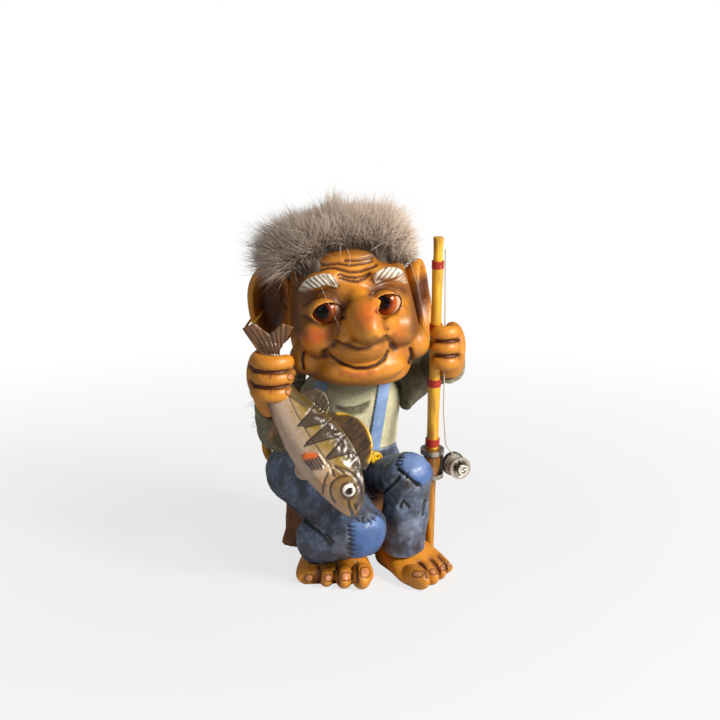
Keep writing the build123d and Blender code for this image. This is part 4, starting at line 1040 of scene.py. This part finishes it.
# Tail
# A thin resin tail set in the trousers behind the right hip.
# A tuft of the wig's fur is glued on its end, with a few long pale hairs.
tuft_brown = "5a4a40"
tail = cast_copy("tail", grain=0.6, rounds=3)
points, normals, edges = measure(tail)
lay_paint(tail, skin_coat(points, normals, edges, depth=0.6))
dress(tail, "tail", "figure", skin)
tuft = cast_copy("tail_tuft", grain=0.5, rounds=3)
points, normals, edges = measure(tuft)
points = settle(points - 1.5 * normals, edges, rounds=3)
put_points(tuft, points)
lay_paint(tuft, ground(points, tuft_brown))
dress(tuft, "tail_tuft", "figure", fur)
tail_hairs = 900
picked = luck.integers(len(points), size=tail_hairs)
roots = points[picked]
ways = unit(0.6 * normals[picked] + luck.normal(0, 0.35, roots.shape))
bends = 3 * curls(roots, size=6) + luck.normal(0, 1.5, roots.shape)
lengths = luck.uniform(4, 13, tail_hairs)
grow("tuft_fur", "figure", roots, ways, lengths, bends, ("6a5a50", "d8ccc2"), rings=5)
long_hairs = 70
picked = luck.integers(len(points), size=long_hairs)
roots = points[picked]
ways = unit(0.4 * normals[picked] + np.array([-0.5, -0.3, 0]) + luck.normal(0, 0.5, roots.shape))
bends = 5 * curls(roots, size=8) + luck.normal(0, 3, roots.shape) - 3 * up
lengths = luck.uniform(8, 16, long_hairs)
grow("tuft_long_hairs", "figure", roots, ways, lengths, bends, guard_shades, rings=8, thickness=0.15)


# Fishing rod
# A length of split cane with raised joints and red thread bindings, standing on the table and held in
# the fist. A turned sleeve below carries the reel between two plated rings.
cane_yellow, cane_brown, cane_bright, cane_foot = "dda520", "8a4f16", "f2c838", "b06a1c"
grip_brown, grip_tan, grip_hollow_shade = "7a4a18", "b47a2c", "2a1608"
cane_varnish = painted("cane_varnish", roughness=0.3, coat=0.4, speck=2, speck_depth=0.25, bump=0.1,
                       stretch=(1, 1, 0.15))
red_thread = metal("red_thread", code="9c2416", roughness=0.45, metallic=0)
long_streaks = np.array([1, 1, 0.3])
longer_streaks = np.array([1, 1, 0.15])
cane_foot_height = 48
cane = cast_copy("rod_cane", grain=0.5, rounds=1)
points, _, _ = measure(cane)
paint = wash(
    ground(points, cane_yellow),
    (cane_brown, 2.2 * (mottle(points * long_streaks, size=4) - 0.52)),
    (cane_bright, 1.6 * (mottle(points * longer_streaks, size=2.5) - 0.5)),
    (cane_foot, np.clip((cane_foot_height - points[:, 2]) / 6, 0, 0.75)),
)
lay_paint(cane, paint)
dress(cane, "rod_cane", "figure", cane_varnish)
grip = cast_copy("rod_grip", grain=0.35, rounds=2)
points, normals, edges = measure(grip)
paint = wash(
    ground(points, grip_brown),
    (grip_tan, 1.4 * (mottle(points, size=3) - 0.4)),
    # painted shade in the grip's hollows
    (grip_hollow_shade, -3 * relief(points, normals, edges, rounds=20)),
)
lay_paint(grip, paint)
dress(grip, "rod_grip", "figure", cane_varnish)
smooth_copy("rod_whippings", "figure", red_thread)


# Reel
# A small plated reel: a frame with its foot under two rings on the grip, and a spool with its wound line
# and a crank knob, which turn together on the frame's axle.
plated = metal("plated", code="b9b4ac", roughness=0.28)
dark_plate = metal("dark_plate", code="4a4642", roughness=0.4)
bright_knob = metal("bright_knob", code="dcd8d2", roughness=0.2)
nylon = metal("nylon", code="b8b0a4", roughness=0.35, metallic=0)
smooth_copy("reel_rings", "figure", plated)
smooth_copy("reel_frame", "figure", dark_plate)
smooth_copy("reel_spool", "reel", plated)
smooth_copy("reel_winding", "reel", nylon)
smooth_copy("reel_knob", "reel", bright_knob)


# Fishing line
# Fine nylon line from the reel's spool up through the fist to the rod's tip.
# It is drawn tight along the cane and does not move with the reel.
smooth_copy("fishing_line", "figure", nylon)


# Studio
# A pale table that runs back without an edge, a large soft lamp high on the right, a weak one on the
# left, and the camera at the photograph's place.
def plain_white(name):
    """Matt white that keeps the figure's shadow near by and fades to pure white away from it."""
    material, shader, nodes, link = new_finish(name)
    set_inputs(shader, {"Base Color": (0.55, 0.545, 0.55, 1), "Roughness": 0.6})
    glow = nodes.new("ShaderNodeEmission")
    set_inputs(glow, {"Strength": 1})
    seen_by = nodes.new("ShaderNodeLightPath")
    place = nodes.new("ShaderNodeTexCoord")
    away = nodes.new("ShaderNodeVectorMath")
    away.operation = "LENGTH"
    fade = nodes.new("ShaderNodeMapRange")
    set_inputs(fade, {"From Min": 0.12, "From Max": 0.5, "To Min": 0.74, "To Max": 1})
    share = nodes.new("ShaderNodeMath")
    share.operation = "MULTIPLY"
    blend = nodes.new("ShaderNodeMixShader")
    link(place.outputs["Object"], away.inputs[0])
    link(away.outputs["Value"], fade.inputs["Value"])
    link(seen_by.outputs["Is Camera Ray"], share.inputs[0])
    link(fade.outputs["Result"], share.inputs[1])
    link(share.outputs["Value"], blend.inputs["Fac"])
    link(shader.outputs["BSDF"], blend.inputs[1])
    link(glow.outputs["Emission"], blend.inputs[2])
    link(blend.outputs["Shader"], nodes["Material Output"].inputs["Surface"])
    return material


bpy.ops.object.select_all(action="DESELECT")
bpy.ops.mesh.primitive_plane_add(size=6)
floor = bpy.context.object
floor.name = "table"
floor.data.materials.append(plain_white("table_white"))

world = bpy.data.worlds.new("studio")
bpy.context.scene.world = world
world.use_nodes = True
nodes = world.node_tree.nodes
link = world.node_tree.links.new
room = nodes["Background"]
set_inputs(room, {"Color": (1, 1, 1, 1), "Strength": 0.24})
backdrop = nodes.new("ShaderNodeBackground")
set_inputs(backdrop, {"Color": (1, 1, 1, 1), "Strength": 1})
rays_from = nodes.new("ShaderNodeLightPath")
bright = nodes.new("ShaderNodeMath")
bright.operation = "MAXIMUM"
blend = nodes.new("ShaderNodeMixShader")
link(rays_from.outputs["Is Camera Ray"], bright.inputs[0])
link(rays_from.outputs["Is Transmission Ray"], bright.inputs[1])
link(bright.outputs["Value"], blend.inputs["Fac"])
link(room.outputs["Background"], blend.inputs[1])
link(backdrop.outputs["Background"], blend.inputs[2])
link(blend.outputs["Shader"], nodes["World Output"].inputs["Surface"])

lamp_target = Vector((0, 0, 0.1))


def soft_lamp(name, place, size, power, warmth):
    """A square soft box aimed at the middle of the figure."""
    lamp = bpy.data.lights.new(name, "AREA")
    lamp.size = size
    lamp.energy = power
    lamp.color = warmth
    holder = bpy.data.objects.new(name, lamp)
    holder.location = place
    aim = lamp_target - Vector(place)
    holder.rotation_euler = aim.to_track_quat("-Z", "Y").to_euler()
    bpy.context.scene.collection.objects.link(holder)


soft_lamp("key", (0.72, -0.55, 0.62), 0.3, 17, (1, 0.93, 0.83))
soft_lamp("fill", (-0.8, -0.7, 0.5), 0.6, 1, (1, 1, 1))

lens = bpy.data.cameras.new("camera")
lens.lens = camera_lens
lens.sensor_width = camera_sensor
lens.clip_start = 0.01
camera = bpy.data.objects.new("camera", lens)
camera.location = camera_place * millimetre
camera.rotation_euler = (math.pi / 2 - camera_lift, 0, 0)
bpy.context.scene.collection.objects.link(camera)
bpy.context.scene.camera = camera
bpy.context.scene.view_settings.view_transform = "Standard"
